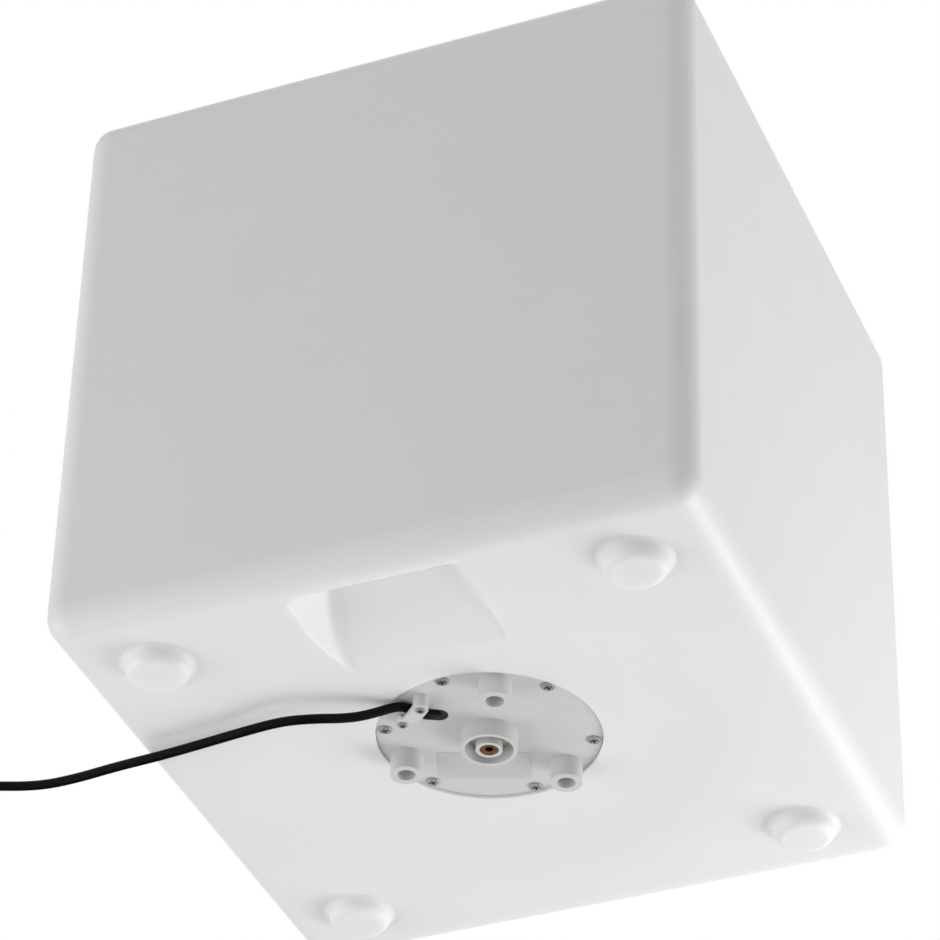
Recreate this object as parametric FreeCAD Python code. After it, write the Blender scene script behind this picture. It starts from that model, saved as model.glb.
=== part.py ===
"""Garden cube light: a hollow moulded cube on four feet, lit by a lamp on its round base plate.

Sizes are in millimetres. Z is up, the origin is on the floor under the middle of the cube,
and -Y is the face above the grip. Angles are in degrees about Z, counted from +X.
"""

import FreeCAD
import Part
import math
import os

from FreeCAD import Placement, Rotation, Vector

# ---- driving dimensions: cube shell -------------------------------------------------------
SIDE = 400.0
BODY_HEIGHT = 390.0
EDGE_RADIUS = 16.5
WALL = 4.0
FOOT_HEIGHT = 10.0
FOOT_BASE_RADIUS = 25.0
FOOT_TOP_RADIUS = 12.5
FOOT_INSET = 53.0
DISH_DEPTH = 7.3
DISH_MARGIN = 26.0
BLEND_OVERLAP = 0.3

# ---- driving dimensions: grip in the underside --------------------------------------------
GRIP_WIDTH = 104.0
GRIP_LENGTH = 77.0
GRIP_DEPTH = 30.0
GRIP_LIP = 23.3
GRIP_SIDE_DRAFT = 22.0
GRIP_FRONT_DRAFT = 5.0
GRIP_FLOOR_RADIUS = 9.0
GRIP_RIM_RADIUS = 5.0
GRIP_RIM_SLOPE = 8.0
GRIP_TAIL = 24.0
GRIP_TAIL_SLOPE = 7.0
GRIP_ROOF_RADIUS = 130.0

# ---- driving dimensions: opening, seat and base plate -------------------------------------
OPENING_RADIUS = 67.8
SEAT_WIDTH = 15.8
SEAT_FLAT = 9.0
SEAT_BOSS_RADIUS = 5.6
SEAT_BOSS_HEIGHT = 12.0
PLATE_RECESS = 1.9
PLATE_THICKNESS = 3.0
PLATE_GAP = 0.3
PLATE_EDGE_RADIUS = 0.4
SPIGOT_GAP = 0.5
SPIGOT_WALL = 1.8
SPIGOT_HEIGHT = 9.0
GASKET_THICKNESS = 1.5
GASKET_EDGE = 1.0

# ---- driving dimensions: bosses on the outside of the plate -------------------------------
LEG_BOSS_COUNT = 3
LEG_BOSS_EDGE = 12.2
LEG_BOSS_ANGLE = -64.7
LEG_BOSS_RADIUS = 9.8
LEG_BORE_RADIUS = 5.6
LEG_BOSS_HEIGHT = 13.8
LEG_BORE_FLOOR = 1.2
CUP_RADIUS = 17.0
CUP_WALL = 2.4
CUP_HEIGHT = 11.3
CUP_RIB_COUNT = 6
CUP_RIB_THICKNESS = 1.4
CUP_RIB_DROP = 7.0
CUP_RIB_ANGLE = 27.0
TUBE_RADIUS = 8.0
INSERT_RADIUS = 5.8
INSERT_BORE_RADIUS = 2.5
INSERT_LENGTH = 12.0
INSERT_STEP = 0.4
INSERT_GROOVE = 0.5
TUBE_CAP = 2.0
TUBE_RESERVE = 3.0

# ---- driving dimensions: screws -----------------------------------------------------------
PLATE_SCREW_COUNT = 6
PLATE_SCREW_EDGE = 5.3
PLATE_SCREW_ANGLE = -94.7
PLATE_SCREW_HEAD_RADIUS = 4.0
PLATE_SCREW_HEAD_HEIGHT = 1.2
PLATE_SCREW_RADIUS = 2.0
PLATE_SCREW_LENGTH = 14.0
SMALL_SCREW_HEAD_RADIUS = 2.8
SMALL_SCREW_HEAD_HEIGHT = 1.1
SMALL_SCREW_RADIUS = 1.5
SMALL_SCREW_LENGTH = 8.0
SCREW_TIP = 1.2
SCREW_PLAY = 0.05
SCREW_PASS = 0.3
CROSS_WIDTH = 0.28
CROSS_LENGTH = 1.2
CROSS_DEPTH = 0.75

# ---- driving dimensions: cord clamp -------------------------------------------------------
CLAMP_POST = (-23.4, -50.0)
CLAMP_PAD = (-42.0, -32.9)
CLAMP_LOBE_RADIUS = 4.7
CLAMP_THICKNESS = 2.4
CLAMP_PAD_HEIGHT = 1.7
CLAMP_SCREW_LENGTH = 6.5
CLAMP_ARCH = 14.5
CLAMP_CROSSING = 9.4
CLAMP_TOOTH = 0.8
CLAMP_TOOTH_COUNT = 3

# ---- driving dimensions: cord and its plug ------------------------------------------------
CORD_DIAMETER = 5.8
CORD_PLAY = 0.3
CORE_DIAMETER = 2.2
CORE_OFFSET = 1.4
FLOOR_GAP = 0.1
SLOT_CENTRE = (-23.4, -30.9)
SLOT_ANGLE = 27.0
SLOT_LENGTH = 18.0
SLOT_WIDTH = 11.5
GROMMET_FLANGE = 1.6
GROMMET_LIP = 0.8
CORD_RUN = 16.0
COIL_CENTRE = (-317.0, -124.0)
COIL_START_ANGLE = 110.0
COIL_INNER_RADIUS = 28.6
COIL_GAP = 0.65
COIL_LAYERS = 4
COIL_QUARTERS = 7
COIL_LAST_QUARTERS = 8
TIE_THICKNESS = 1.1
TIE_WIDTH = 9.0
TIE_GAP = 0.3
TIE_ANGLE = 245.0
PLUG_ENTRY = (-301.0, -196.5)
PLUG_GUARD_LENGTH = 22.0
PLUG_GUARD_RADIUS = 4.6
PLUG_NOSE_RADIUS = 6.4
PLUG_BODY_LENGTH = 30.0
PLUG_BODY_WIDTH = 34.0
PLUG_BODY_HEIGHT = 14.0
PLUG_PIN_RADIUS = 2.4
PLUG_PIN_LENGTH = 19.0
PLUG_PIN_SPACING = 19.0
PLUG_PIN_ROOT = 4.0
PLUG_PIN_NECK_RADIUS = 1.9
PLUG_PIN_NECK = 0.3

# ---- driving dimensions: lampholder and its bracket ---------------------------------------
STANDOFF_X = 24.0
STANDOFF_RADIUS = 4.5
STANDOFF_HEIGHT = 15.0
BRACKET_LENGTH = 62.0
BRACKET_WIDTH = 18.0
BRACKET_THICKNESS = 1.5
NIPPLE_RADIUS = 5.0
NIPPLE_BORE_RADIUS = 3.9
NIPPLE_BELOW = 4.5
NIPPLE_ABOVE = 7.0
NUT_ACROSS_FLATS = 14.0
NUT_HEIGHT = 3.0
HOLDER_RADIUS = 20.5
HOLDER_HEIGHT = 43.0
HOLDER_WALL = 3.0
HOLDER_NECK_RADIUS = 12.0
HOLDER_NECK_HEIGHT = 8.0
HOLDER_FLOOR = 16.0
HOLDER_SHOULDER = 7.0
LINER_THICKNESS = 0.5
LINER_HEIGHT = 23.5
CONTACT_THICKNESS = 0.6
CONTACT_WIDTH = 5.0

# ---- driving dimensions: lamp -------------------------------------------------------------
CAP_RADIUS = 13.1
CAP_THREAD_DEPTH = 0.9
CAP_PITCH = 3.63
CAP_TURNS = 5
CAP_SKIRT = 3.0
CAP_WALL = 0.4
THREAD_PLAY = 0.35
TIP_RADIUS = 4.8
TIP_HEIGHT = 1.5
INSULATOR_HEIGHT = 4.0
LAMP_HEIGHT = 112.0
LAMP_RADIUS = 30.0
LAMP_WALL = 1.6
LAMP_BODY_HEIGHT = 40.0
LED_COUNT = 12
LED_SIZE = 3.0
LED_THICKNESS = 0.7
LED_CIRCLE = 16.0
LED_BOARD_THICKNESS = 1.2
DRIVER_THICKNESS = 1.4
DRIVER_WIDTH = 18.0
DRIVER_HEIGHT = 30.0

# ---- driving dimensions: terminal block and label -----------------------------------------
TERMINAL_CENTRE = (18.0, -23.5)
TERMINAL_SIZE = (16.0, 20.0, 12.0)
TERMINAL_POLE_PITCH = 8.0
TERMINAL_BORE_RADIUS = 1.7
TERMINAL_SCREW_RADIUS = 1.4
TERMINAL_SCREW_LENGTH = 3.6
LABEL_SIZE = (56.0, 28.0, 0.2)
LABEL_CENTRE = (-15.3, 30.2)
LABEL_ANGLE = 20.4
LABEL_CORNER = 2.0

# ---- levels worked out from the dimensions above ------------------------------------------
UNDERSIDE = FOOT_HEIGHT
TOP = UNDERSIDE + BODY_HEIGHT
LIP_LEVEL = UNDERSIDE + DISH_DEPTH
PLATE_FACE = LIP_LEVEL + PLATE_RECESS
PLATE_BACK = PLATE_FACE + PLATE_THICKNESS
SEAT_LEVEL = PLATE_BACK + GASKET_THICKNESS
PLATE_RADIUS = OPENING_RADIUS - PLATE_GAP
SEAT_HOLE_RADIUS = OPENING_RADIUS - SEAT_WIDTH
PLATE_SCREW_CIRCLE = PLATE_RADIUS - PLATE_SCREW_EDGE
LEG_BOSS_CIRCLE = PLATE_RADIUS - LEG_BOSS_EDGE
DISH_FLAT_RADIUS = OPENING_RADIUS + SEAT_FLAT
DISH_RADIUS = SIDE / 2 - DISH_MARGIN
FOOT_PLACE = SIDE / 2 - FOOT_INSET
BRACKET_LEVEL = PLATE_BACK + STANDOFF_HEIGHT
HOLDER_LEVEL = BRACKET_LEVEL + BRACKET_THICKNESS
HOLDER_FLOOR_LEVEL = HOLDER_LEVEL + HOLDER_FLOOR
CORD_RADIUS = CORD_DIAMETER / 2
CLAMP_INNER = PLATE_FACE - CORD_DIAMETER - 2 * CORD_PLAY
CLAMP_OUTER = CLAMP_INNER - CLAMP_THICKNESS
CORD_LEVEL = PLATE_FACE - CORD_PLAY - CORD_RADIUS
Z_AXIS = Vector(0, 0, 1)


# ---- small helpers ------------------------------------------------------------------------
def polar(radius, angle, z=0.0):
    """Point at a radius and an angle about the Z axis."""
    turn = math.radians(angle)
    return Vector(radius * math.cos(turn), radius * math.sin(turn), z)


def cylinder(radius, low, high, x=0.0, y=0.0):
    """Upright cylinder between two levels."""
    return Part.makeCylinder(radius, high - low, Vector(x, y, low))


def ring(outer, inner, low, high, x=0.0, y=0.0):
    """Upright tube between two levels."""
    return cylinder(outer, low, high, x, y).cut(cylinder(inner, low - 1, high + 1, x, y))


def block(length, width, height, x=0.0, y=0.0, low=0.0):
    """Box centred on x and y that stands on a level."""
    return Part.makeBox(length, width, height, Vector(x - length / 2, y - width / 2, low))


def polygon(points):
    """Closed face through points."""
    return Part.Face(Part.makePolygon([Vector(*p) for p in points] + [Vector(*points[0])]))


def revolved(edges):
    """Solid of revolution of a closed outline in the XZ plane."""
    return Part.Face(Part.Wire(edges)).revolve(Vector(0, 0, 0), Z_AXIS, 360)


def line(a, b):
    """Straight edge in the XZ plane between (radius, level) points."""
    return Part.LineSegment(Vector(a[0], 0, a[1]), Vector(b[0], 0, b[1])).toShape()


def arc(a, b, centre, radius):
    """Arc in the XZ plane from a to b, by the short way round its centre."""
    middle = Vector((a[0] + b[0]) / 2, 0, (a[1] + b[1]) / 2)
    out = (middle - Vector(centre[0], 0, centre[1])).normalize() * radius
    through = Vector(centre[0], 0, centre[1]) + out
    return Part.Arc(Vector(a[0], 0, a[1]), through, Vector(b[0], 0, b[1])).toShape()


def blend_curve(inner, outer):
    """Two equal arcs from one (radius, level) point to another, level at both ends."""
    run, rise = outer[0] - inner[0], outer[1] - inner[1]
    radius = (run * run + rise * rise) / (4 * abs(rise))
    side = math.copysign(radius, rise)
    middle = ((inner[0] + outer[0]) / 2, (inner[1] + outer[1]) / 2)
    first = arc(inner, middle, (inner[0], inner[1] + side), radius)
    second = arc(middle, outer, (outer[0], outer[1] - side), radius)
    return [first, second]


def at(shape, x=0.0, y=0.0, z=0.0, angle=0.0):
    """Copy of a shape turned about Z and moved."""
    moved = shape.copy()
    moved.Placement = Placement(Vector(x, y, z), Rotation(Z_AXIS, angle)).multiply(moved.Placement)
    return moved


def filleted_where(shape, radius, wanted):
    """Fillet the edges whose middle passes a test."""
    edges = [edge for edge in shape.Edges if wanted(edge.CenterOfMass, edge)]
    return shape.makeFillet(radius, edges)


def unite(first, *others):
    """One solid from several that meet."""
    return first.multiFuse(list(others)).removeSplitter()


# ---- cube shell ---------------------------------------------------------------------------
def rounded_box(side, low, high, radius):
    """Box with all its edges rounded."""
    box = block(side, side, high - low, low=low)
    return box.makeFillet(radius, box.Edges)


def dish(rise):
    """Body below the shallow dish of the underside, raised by a wall for the inside."""
    crown = LIP_LEVEL + rise
    brim = UNDERSIDE + rise - BLEND_OVERLAP
    sides = blend_curve((DISH_FLAT_RADIUS + rise, crown), (DISH_RADIUS, brim))
    outline = [line((0, crown), (DISH_FLAT_RADIUS + rise, crown))] + sides
    outline += [line((DISH_RADIUS, brim), (DISH_RADIUS, 0)), line((DISH_RADIUS, 0), (0, 0)), line((0, 0), (0, crown))]
    return revolved(outline)


def foot():
    """Round foot with a flat sole and a soft flank."""
    top = UNDERSIDE + BLEND_OVERLAP
    sole, root = (FOOT_TOP_RADIUS, 0.0), (FOOT_BASE_RADIUS, top)
    cap = top + WALL / 2
    outline = [line((0, 0), sole)] + blend_curve(sole, root)
    outline += [line(root, (root[0], cap)), line((root[0], cap), (0, cap)), line((0, cap), (0, 0))]
    return revolved(outline)


def foot_hollow():
    """Tapered hollow inside a foot."""
    narrow, wide = FOOT_TOP_RADIUS - WALL / 2, FOOT_BASE_RADIUS - WALL / 2
    return Part.makeCone(narrow, wide, UNDERSIDE + WALL / 2, Vector(0, 0, WALL))


def grip_flank(half, draft, grow, low):
    """Edges in the XZ plane of a flank of the grip and its rounded rim, down to a level."""
    lean, soft = math.atan2(draft, GRIP_DEPTH), math.radians(GRIP_RIM_SLOPE)
    centre = (half + GRIP_RIM_RADIUS, UNDERSIDE + GRIP_RIM_RADIUS)
    radius = GRIP_RIM_RADIUS - grow

    def on_rim(turn):
        return centre[0] - radius * math.cos(turn), centre[1] - radius * math.sin(turn)

    upper, lower = on_rim(lean), on_rim(math.pi / 2 - soft)
    above = UNDERSIDE + GRIP_DEPTH * 1.5
    high = (upper[0] - (above - upper[1]) * math.tan(lean), above)
    far = (lower[0] + (lower[1] - low) / math.tan(soft), low)
    return [line((0, above), high), line(high, upper), arc(upper, lower, centre, radius),
            line(lower, far), line(far, (0, low))]


def grip_roof(grow):
    """Prism under the grip's roof, which falls from the front and levels out to its end."""
    start = GRIP_FRONT_DRAFT + GRIP_LIP - SIDE / 2
    tail = math.radians(GRIP_TAIL_SLOPE)
    knee = (GRIP_LIP - SIDE / 2 + GRIP_LENGTH - GRIP_TAIL, LIP_LEVEL + GRIP_TAIL * math.tan(tail))
    fall = math.atan2(UNDERSIDE + GRIP_DEPTH - knee[1], knee[0] - start)
    middle, shift = (fall + tail) / 2, grow / math.cos((fall - tail) / 2)
    bend = (knee[0] + shift * math.sin(middle), knee[1] + shift * math.cos(middle))
    crown = bend[1] + (bend[0] + SIDE) * math.tan(fall)
    floor = bend[1] - SIDE * math.tan(tail)
    under = polygon([(-SIDE / 2, -SIDE, crown), (-SIDE / 2, *bend), (-SIDE / 2, bend[0] + SIDE, floor),
                     (-SIDE / 2, -SIDE, floor)]).extrude(Vector(SIDE, 0, 0))
    return filleted_where(under, GRIP_ROOF_RADIUS - grow,
                          lambda place, edge: abs(place.y - bend[0]) < 0.01 and abs(place.z - bend[1]) < 0.01)


def grip(grow):
    """Hollow for the fingers: steep at the front, its roof falling to the level of the dish behind.

    Its rim is rounded, and the inside of the wall is the same form grown by the wall.
    """
    low, above = UNDERSIDE - WALL, UNDERSIDE + GRIP_DEPTH * 1.5
    flank = grip_flank(GRIP_WIDTH / 2, GRIP_SIDE_DRAFT, grow, low)
    other = [edge.mirror(Vector(0, 0, 0), Vector(1, 0, 0)) for edge in flank]
    across = Part.Face(Part.Wire(Part.__sortEdges__(flank + other)))
    across = at(across, 0, -SIDE).extrude(Vector(0, SIDE, 0))
    front = SIDE / 2 - GRIP_LIP
    lip = grip_flank(front, GRIP_FRONT_DRAFT, grow, low) + [line((0, low), (0, above))]
    along = at(Part.Face(Part.Wire(lip)), 0, -SIDE / 2).extrude(Vector(0, SIDE, 0))
    wedge = across.common(at(along, angle=-90.0)).common(grip_roof(grow))
    roof_edges = UNDERSIDE + GRIP_DEPTH * 0.9
    return filleted_where(wedge, GRIP_FLOOR_RADIUS + grow, lambda middle, edge: edge.BoundBox.ZMax > roof_edges)


def at_feet(shape):
    """Copies of a shape at the four corners."""
    return [at(shape, x, y) for x in (-FOOT_PLACE, FOOT_PLACE) for y in (-FOOT_PLACE, FOOT_PLACE)]


def plate_screw_places():
    """Centres of the screws that hold the plate."""
    step = 360.0 / PLATE_SCREW_COUNT
    return [polar(PLATE_SCREW_CIRCLE, PLATE_SCREW_ANGLE + step * n) for n in range(PLATE_SCREW_COUNT)]


def make_cube_shell():
    """Hollow cube with feet, grip, dished underside and the stepped seat of the base plate."""
    body = rounded_box(SIDE, UNDERSIDE, TOP, EDGE_RADIUS).cut(dish(0.0))
    body = body.multiFuse(at_feet(foot())).cut(grip(0.0))
    body = body.cut(cylinder(OPENING_RADIUS, 0, SEAT_LEVEL))
    cavity = rounded_box(SIDE - 2 * WALL, UNDERSIDE + WALL, TOP - WALL, EDGE_RADIUS - WALL)
    cavity = cavity.cut(dish(WALL)).multiFuse(at_feet(foot_hollow())).cut(grip(WALL))
    cavity = cavity.cut(cylinder(OPENING_RADIUS + WALL, 0, SEAT_LEVEL + WALL))
    shell = body.cut(cavity).cut(cylinder(SEAT_HOLE_RADIUS, 0, SEAT_LEVEL + 2 * WALL))
    tall = SEAT_LEVEL + SEAT_BOSS_HEIGHT
    shell = shell.multiFuse([cylinder(SEAT_BOSS_RADIUS, SEAT_LEVEL + WALL / 2, tall, p.x, p.y)
                             for p in plate_screw_places()])
    tip = PLATE_FACE + PLATE_SCREW_LENGTH + SCREW_PASS
    pilots = [cylinder(PLATE_SCREW_RADIUS + SCREW_PLAY, 0, tip, p.x, p.y) for p in plate_screw_places()]
    return shell.cut(Part.makeCompound(pilots))


# ---- screws -------------------------------------------------------------------------------
def pan_screw(head_radius, head_height, radius, length):
    """Cross-head screw with its head below level 0 and its shank above."""
    head = cylinder(head_radius, -head_height, 0)
    dome = head_height * 0.55
    head = filleted_where(head, dome, lambda middle, edge: middle.z < -head_height * 0.9)
    shank = cylinder(radius, 0, length - SCREW_TIP)
    tip = Part.makeCone(radius, radius / 3, SCREW_TIP, Vector(0, 0, length - SCREW_TIP))
    arm, depth = head_radius * CROSS_LENGTH, head_height * CROSS_DEPTH
    width = head_radius * CROSS_WIDTH
    cross = block(arm, width, depth, low=-head_height).fuse(block(width, arm, depth, low=-head_height))
    return unite(head, shank, tip).cut(cross)


def plate_screw():
    """Screw that holds the base plate in the cube."""
    return pan_screw(PLATE_SCREW_HEAD_RADIUS, PLATE_SCREW_HEAD_HEIGHT, PLATE_SCREW_RADIUS, PLATE_SCREW_LENGTH)


def small_screw(length):
    """Screw of the cord clamp and of the bracket."""
    return pan_screw(SMALL_SCREW_HEAD_RADIUS, SMALL_SCREW_HEAD_HEIGHT, SMALL_SCREW_RADIUS, length)


def make_plate_screws():
    """Six screws through the plate margin."""
    return Part.makeCompound([at(plate_screw(), p.x, p.y, PLATE_FACE) for p in plate_screw_places()])


def clamp_ends():
    """Place and outer level of the two clamp ears."""
    pad_outer = PLATE_FACE - CLAMP_PAD_HEIGHT - CLAMP_THICKNESS
    return [(CLAMP_POST, CLAMP_OUTER), (CLAMP_PAD, pad_outer)]


def make_clamp_screws():
    """Two small screws through the clamp ears."""
    screw = small_screw(CLAMP_SCREW_LENGTH)
    return Part.makeCompound([at(screw, x, y, level) for (x, y), level in clamp_ends()])


def make_bracket_screws():
    """Two small screws down through the bracket into the standoffs."""
    turned = small_screw(SMALL_SCREW_LENGTH)
    turned.rotate(Vector(0, 0, 0), Vector(1, 0, 0), 180)
    return Part.makeCompound([at(turned, x, 0, HOLDER_LEVEL) for x in (-STANDOFF_X, STANDOFF_X)])


# ---- base plate ---------------------------------------------------------------------------
def leg_boss_places():
    """Centres of the three blind bosses."""
    step = 360.0 / LEG_BOSS_COUNT
    return [polar(LEG_BOSS_CIRCLE, LEG_BOSS_ANGLE + step * n) for n in range(LEG_BOSS_COUNT)]


def slot(grow, low, high):
    """Upright prism with the long hole's outline."""
    straight = SLOT_LENGTH - SLOT_WIDTH
    radius = SLOT_WIDTH / 2 + grow
    core = block(straight, 2 * radius, high - low, low=low)
    ends = [cylinder(radius, low, high, x) for x in (-straight / 2, straight / 2)]
    return at(unite(core, *ends), SLOT_CENTRE[0], SLOT_CENTRE[1], 0, SLOT_ANGLE)


def cup_levels():
    """Level of the cup's mouth and of the closed end of its tube."""
    mouth = PLATE_FACE - CUP_HEIGHT
    return mouth, mouth + INSERT_STEP + INSERT_LENGTH + TUBE_RESERVE + TUBE_CAP


def make_fixing_cup():
    """Ribbed cup on the plate, with the insert's closed tube through its middle."""
    mouth, end = cup_levels()
    cup = ring(CUP_RADIUS, CUP_RADIUS - CUP_WALL, mouth, PLATE_FACE)
    tube = cylinder(TUBE_RADIUS, mouth, end)
    rib_length = CUP_RADIUS - CUP_WALL / 2
    rib = block(rib_length, CUP_RIB_THICKNESS, CUP_HEIGHT - CUP_RIB_DROP, rib_length / 2, 0,
                mouth + CUP_RIB_DROP)
    ribs = [at(rib, angle=CUP_RIB_ANGLE + 360.0 / CUP_RIB_COUNT * n) for n in range(CUP_RIB_COUNT)]
    return unite(cup, tube, *ribs).cut(cylinder(INSERT_RADIUS, mouth - 1, end - TUBE_CAP))


def make_base_plate():
    """Round plate with bosses, clamp post and pad, spigot and standoffs."""
    disc = cylinder(PLATE_RADIUS, PLATE_FACE, PLATE_BACK)
    disc = filleted_where(disc, PLATE_EDGE_RADIUS, lambda middle, edge: middle.z < PLATE_FACE + 0.1)
    spigot_radius = SEAT_HOLE_RADIUS - SPIGOT_GAP
    spigot = ring(spigot_radius, spigot_radius - SPIGOT_WALL, PLATE_BACK, PLATE_BACK + SPIGOT_HEIGHT)
    legs = [cylinder(LEG_BOSS_RADIUS, PLATE_FACE - LEG_BOSS_HEIGHT, PLATE_FACE, p.x, p.y)
            for p in leg_boss_places()]
    post = cylinder(CLAMP_LOBE_RADIUS, CLAMP_INNER, PLATE_FACE, *CLAMP_POST)
    pad = cylinder(CLAMP_LOBE_RADIUS, PLATE_FACE - CLAMP_PAD_HEIGHT, PLATE_FACE, *CLAMP_PAD)
    standoffs = [cylinder(STANDOFF_RADIUS, PLATE_BACK, BRACKET_LEVEL, x) for x in (-STANDOFF_X, STANDOFF_X)]
    plate = unite(disc, spigot, post, pad, *legs, *standoffs)
    cuts = [cylinder(TUBE_RADIUS, 0, PLATE_BACK + 1), slot(0.0, PLATE_FACE - 1, PLATE_BACK + 1)]
    bore_floor = PLATE_FACE - LEG_BORE_FLOOR
    cuts += [cylinder(LEG_BORE_RADIUS, 0, bore_floor, p.x, p.y) for p in leg_boss_places()]
    cuts += [cylinder(PLATE_SCREW_RADIUS + SCREW_PASS, 0, PLATE_BACK + 1, p.x, p.y)
             for p in plate_screw_places()]
    cuts += [cylinder(SMALL_SCREW_RADIUS, 0, level + CLAMP_SCREW_LENGTH + SCREW_PASS, x, y)
             for (x, y), level in clamp_ends()]
    cuts += [cylinder(SMALL_SCREW_RADIUS, HOLDER_LEVEL - SMALL_SCREW_LENGTH - SCREW_PASS, HOLDER_LEVEL, x)
             for x in (-STANDOFF_X, STANDOFF_X)]
    return plate.cut(Part.makeCompound(cuts))


def make_base_gasket():
    """Flat sealing ring between plate and seat."""
    flat = ring(PLATE_RADIUS - GASKET_EDGE, SEAT_HOLE_RADIUS + GASKET_EDGE, PLATE_BACK, SEAT_LEVEL)
    holes = [cylinder(PLATE_SCREW_RADIUS + SCREW_PASS, 0, SEAT_LEVEL + 1, p.x, p.y)
             for p in plate_screw_places()]
    return flat.cut(Part.makeCompound(holes))


def make_fixing_insert():
    """Threaded brass insert in the middle tube, with a groove round it."""
    low = PLATE_FACE - CUP_HEIGHT + INSERT_STEP
    body = ring(INSERT_RADIUS, INSERT_BORE_RADIUS, low, low + INSERT_LENGTH)
    body = filleted_where(body, INSERT_STEP, lambda middle, edge: middle.z < low + 0.1
                          and edge.BoundBox.XLength < INSERT_RADIUS * 1.5)
    middle = low + INSERT_LENGTH / 2
    groove = ring(INSERT_RADIUS + 1, INSERT_RADIUS - INSERT_GROOVE, middle - 1, middle + 1)
    return body.cut(groove)


def make_rating_label():
    """Blank sticker on the plate, cut away round the cup."""
    sheet = block(*LABEL_SIZE)
    sheet = filleted_where(sheet, LABEL_CORNER, lambda middle, edge: edge.BoundBox.ZLength > 0
                           and edge.BoundBox.XLength < 0.01 and edge.BoundBox.YLength < 0.01)
    placed = at(sheet, *LABEL_CENTRE, PLATE_FACE - LABEL_SIZE[2], LABEL_ANGLE)
    return placed.cut(cylinder(CUP_RADIUS + SCREW_PASS, 0, PLATE_FACE + 1))


# ---- cord clamp ---------------------------------------------------------------------------
def clamp_strip(grow):
    """Side outline of the clamp strip, extruded across, along +X from the post."""
    run = math.dist(CLAMP_POST, CLAMP_PAD)
    high, low = CLAMP_INNER, PLATE_FACE - CLAMP_PAD_HEIGHT
    flat_end = run - CLAMP_LOBE_RADIUS
    inner = [(-CLAMP_LOBE_RADIUS, high), (CLAMP_ARCH, high), (flat_end, low), (run + CLAMP_LOBE_RADIUS, low)]
    outer = [(x, z - CLAMP_THICKNESS) for x, z in reversed(inner)]
    side = polygon([(x, -CLAMP_LOBE_RADIUS, z) for x, z in inner + outer])
    return side.extrude(Vector(0, 2 * CLAMP_LOBE_RADIUS + grow, 0))


def make_cord_clamp():
    """Strip over the cord, high at its post and low at its pad, with teeth on the cord."""
    run = math.dist(CLAMP_POST, CLAMP_PAD)
    strip = clamp_strip(0.0)
    outline = block(run, 2 * CLAMP_LOBE_RADIUS, PLATE_FACE, run / 2, 0, 0)
    ends = [cylinder(CLAMP_LOBE_RADIUS, 0, PLATE_FACE, x) for x in (0.0, run)]
    strip = strip.common(unite(outline, *ends))
    holes = [cylinder(SMALL_SCREW_RADIUS + SCREW_PLAY, 0, PLATE_FACE, x) for x in (0.0, run)]
    strip = strip.cut(Part.makeCompound(holes))
    gap = CORD_DIAMETER / (CLAMP_TOOTH_COUNT + 1)
    first = CLAMP_CROSSING - gap * (CLAMP_TOOTH_COUNT - 1) / 2
    notches = [block(CLAMP_TOOTH, 2 * CLAMP_LOBE_RADIUS + 1, CLAMP_TOOTH, first + gap * n, 0,
                     CLAMP_INNER - CLAMP_TOOTH / 2) for n in range(CLAMP_TOOTH_COUNT)]
    strip = strip.cut(Part.makeCompound(notches))
    angle = math.degrees(math.atan2(CLAMP_PAD[1] - CLAMP_POST[1], CLAMP_PAD[0] - CLAMP_POST[0]))
    return at(strip, CLAMP_POST[0], CLAMP_POST[1], 0, angle)


# ---- cords --------------------------------------------------------------------------------
def rounded_path(points):
    """Wire of straight runs joined by the largest tangent arcs, with its length and radii."""
    corners = [Vector(*p) for p in points]
    edges, radii = [], []
    start = corners[0]
    for before, corner, after in zip(corners, corners[1:], corners[2:]):
        back, ahead = before - corner, after - corner
        turn = math.pi - back.getAngle(ahead)
        shorter = min(back.Length, ahead.Length)
        cut = 0.45 * shorter
        radius = cut / math.tan(turn / 2)
        enter = corner + back.normalize() * cut
        leave = corner + ahead.normalize() * cut
        inward = (back + ahead).normalize()
        middle = corner + inward * (radius / math.cos(turn / 2) - radius)
        edges.append(Part.LineSegment(start, enter).toShape())
        edges.append(Part.Arc(enter, middle, leave).toShape())
        radii.append(radius)
        start = leave
    edges.append(Part.LineSegment(start, corners[-1]).toShape())
    return Part.Wire(edges), radii


def swept(wire, radius, heading):
    """Round tube along a wire."""
    start = wire.Edges[0].Vertexes[0].Point
    profile = Part.Wire(Part.Circle(start, heading, radius).toShape())
    return Part.Wire(wire.Edges).makePipeShell([profile], True, False)


def tube(name, points, diameter):
    """Round tube along a route, with its length, smallest radius and volume check printed."""
    wire, radii = rounded_path(points)
    heading = Vector(*points[1]) - Vector(*points[0])
    solid = swept(wire, diameter / 2, heading)
    expected = math.pi * diameter ** 2 / 4 * wire.Length
    print(f"{name}: length {wire.Length:.1f}, radii {[round(r, 1) for r in radii]}, "
          f"volume ratio {solid.Volume / expected:.4f}")
    return solid


def biarc(p0, t0, p1, t1):
    """Two arcs from p0 to p1 with unit tangents t0 and t1, with equal end lengths."""
    gap = p1 - p0
    both = t0 + t1
    a = both.dot(both) - 4.0
    b = -2.0 * gap.dot(both)
    c = gap.dot(gap)
    reach = (-b - math.sqrt(b * b - 4 * a * c)) / (2 * a) if abs(a) > 1e-9 else c / -b
    reach = abs(reach)
    q0, q1 = p0 + t0 * reach, p1 - t1 * reach
    join = (q0 + q1) * 0.5
    return join, [arc_by_tangent(p0, t0, join), arc_by_tangent(join, (q1 - q0).normalize(), p1)]


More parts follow.
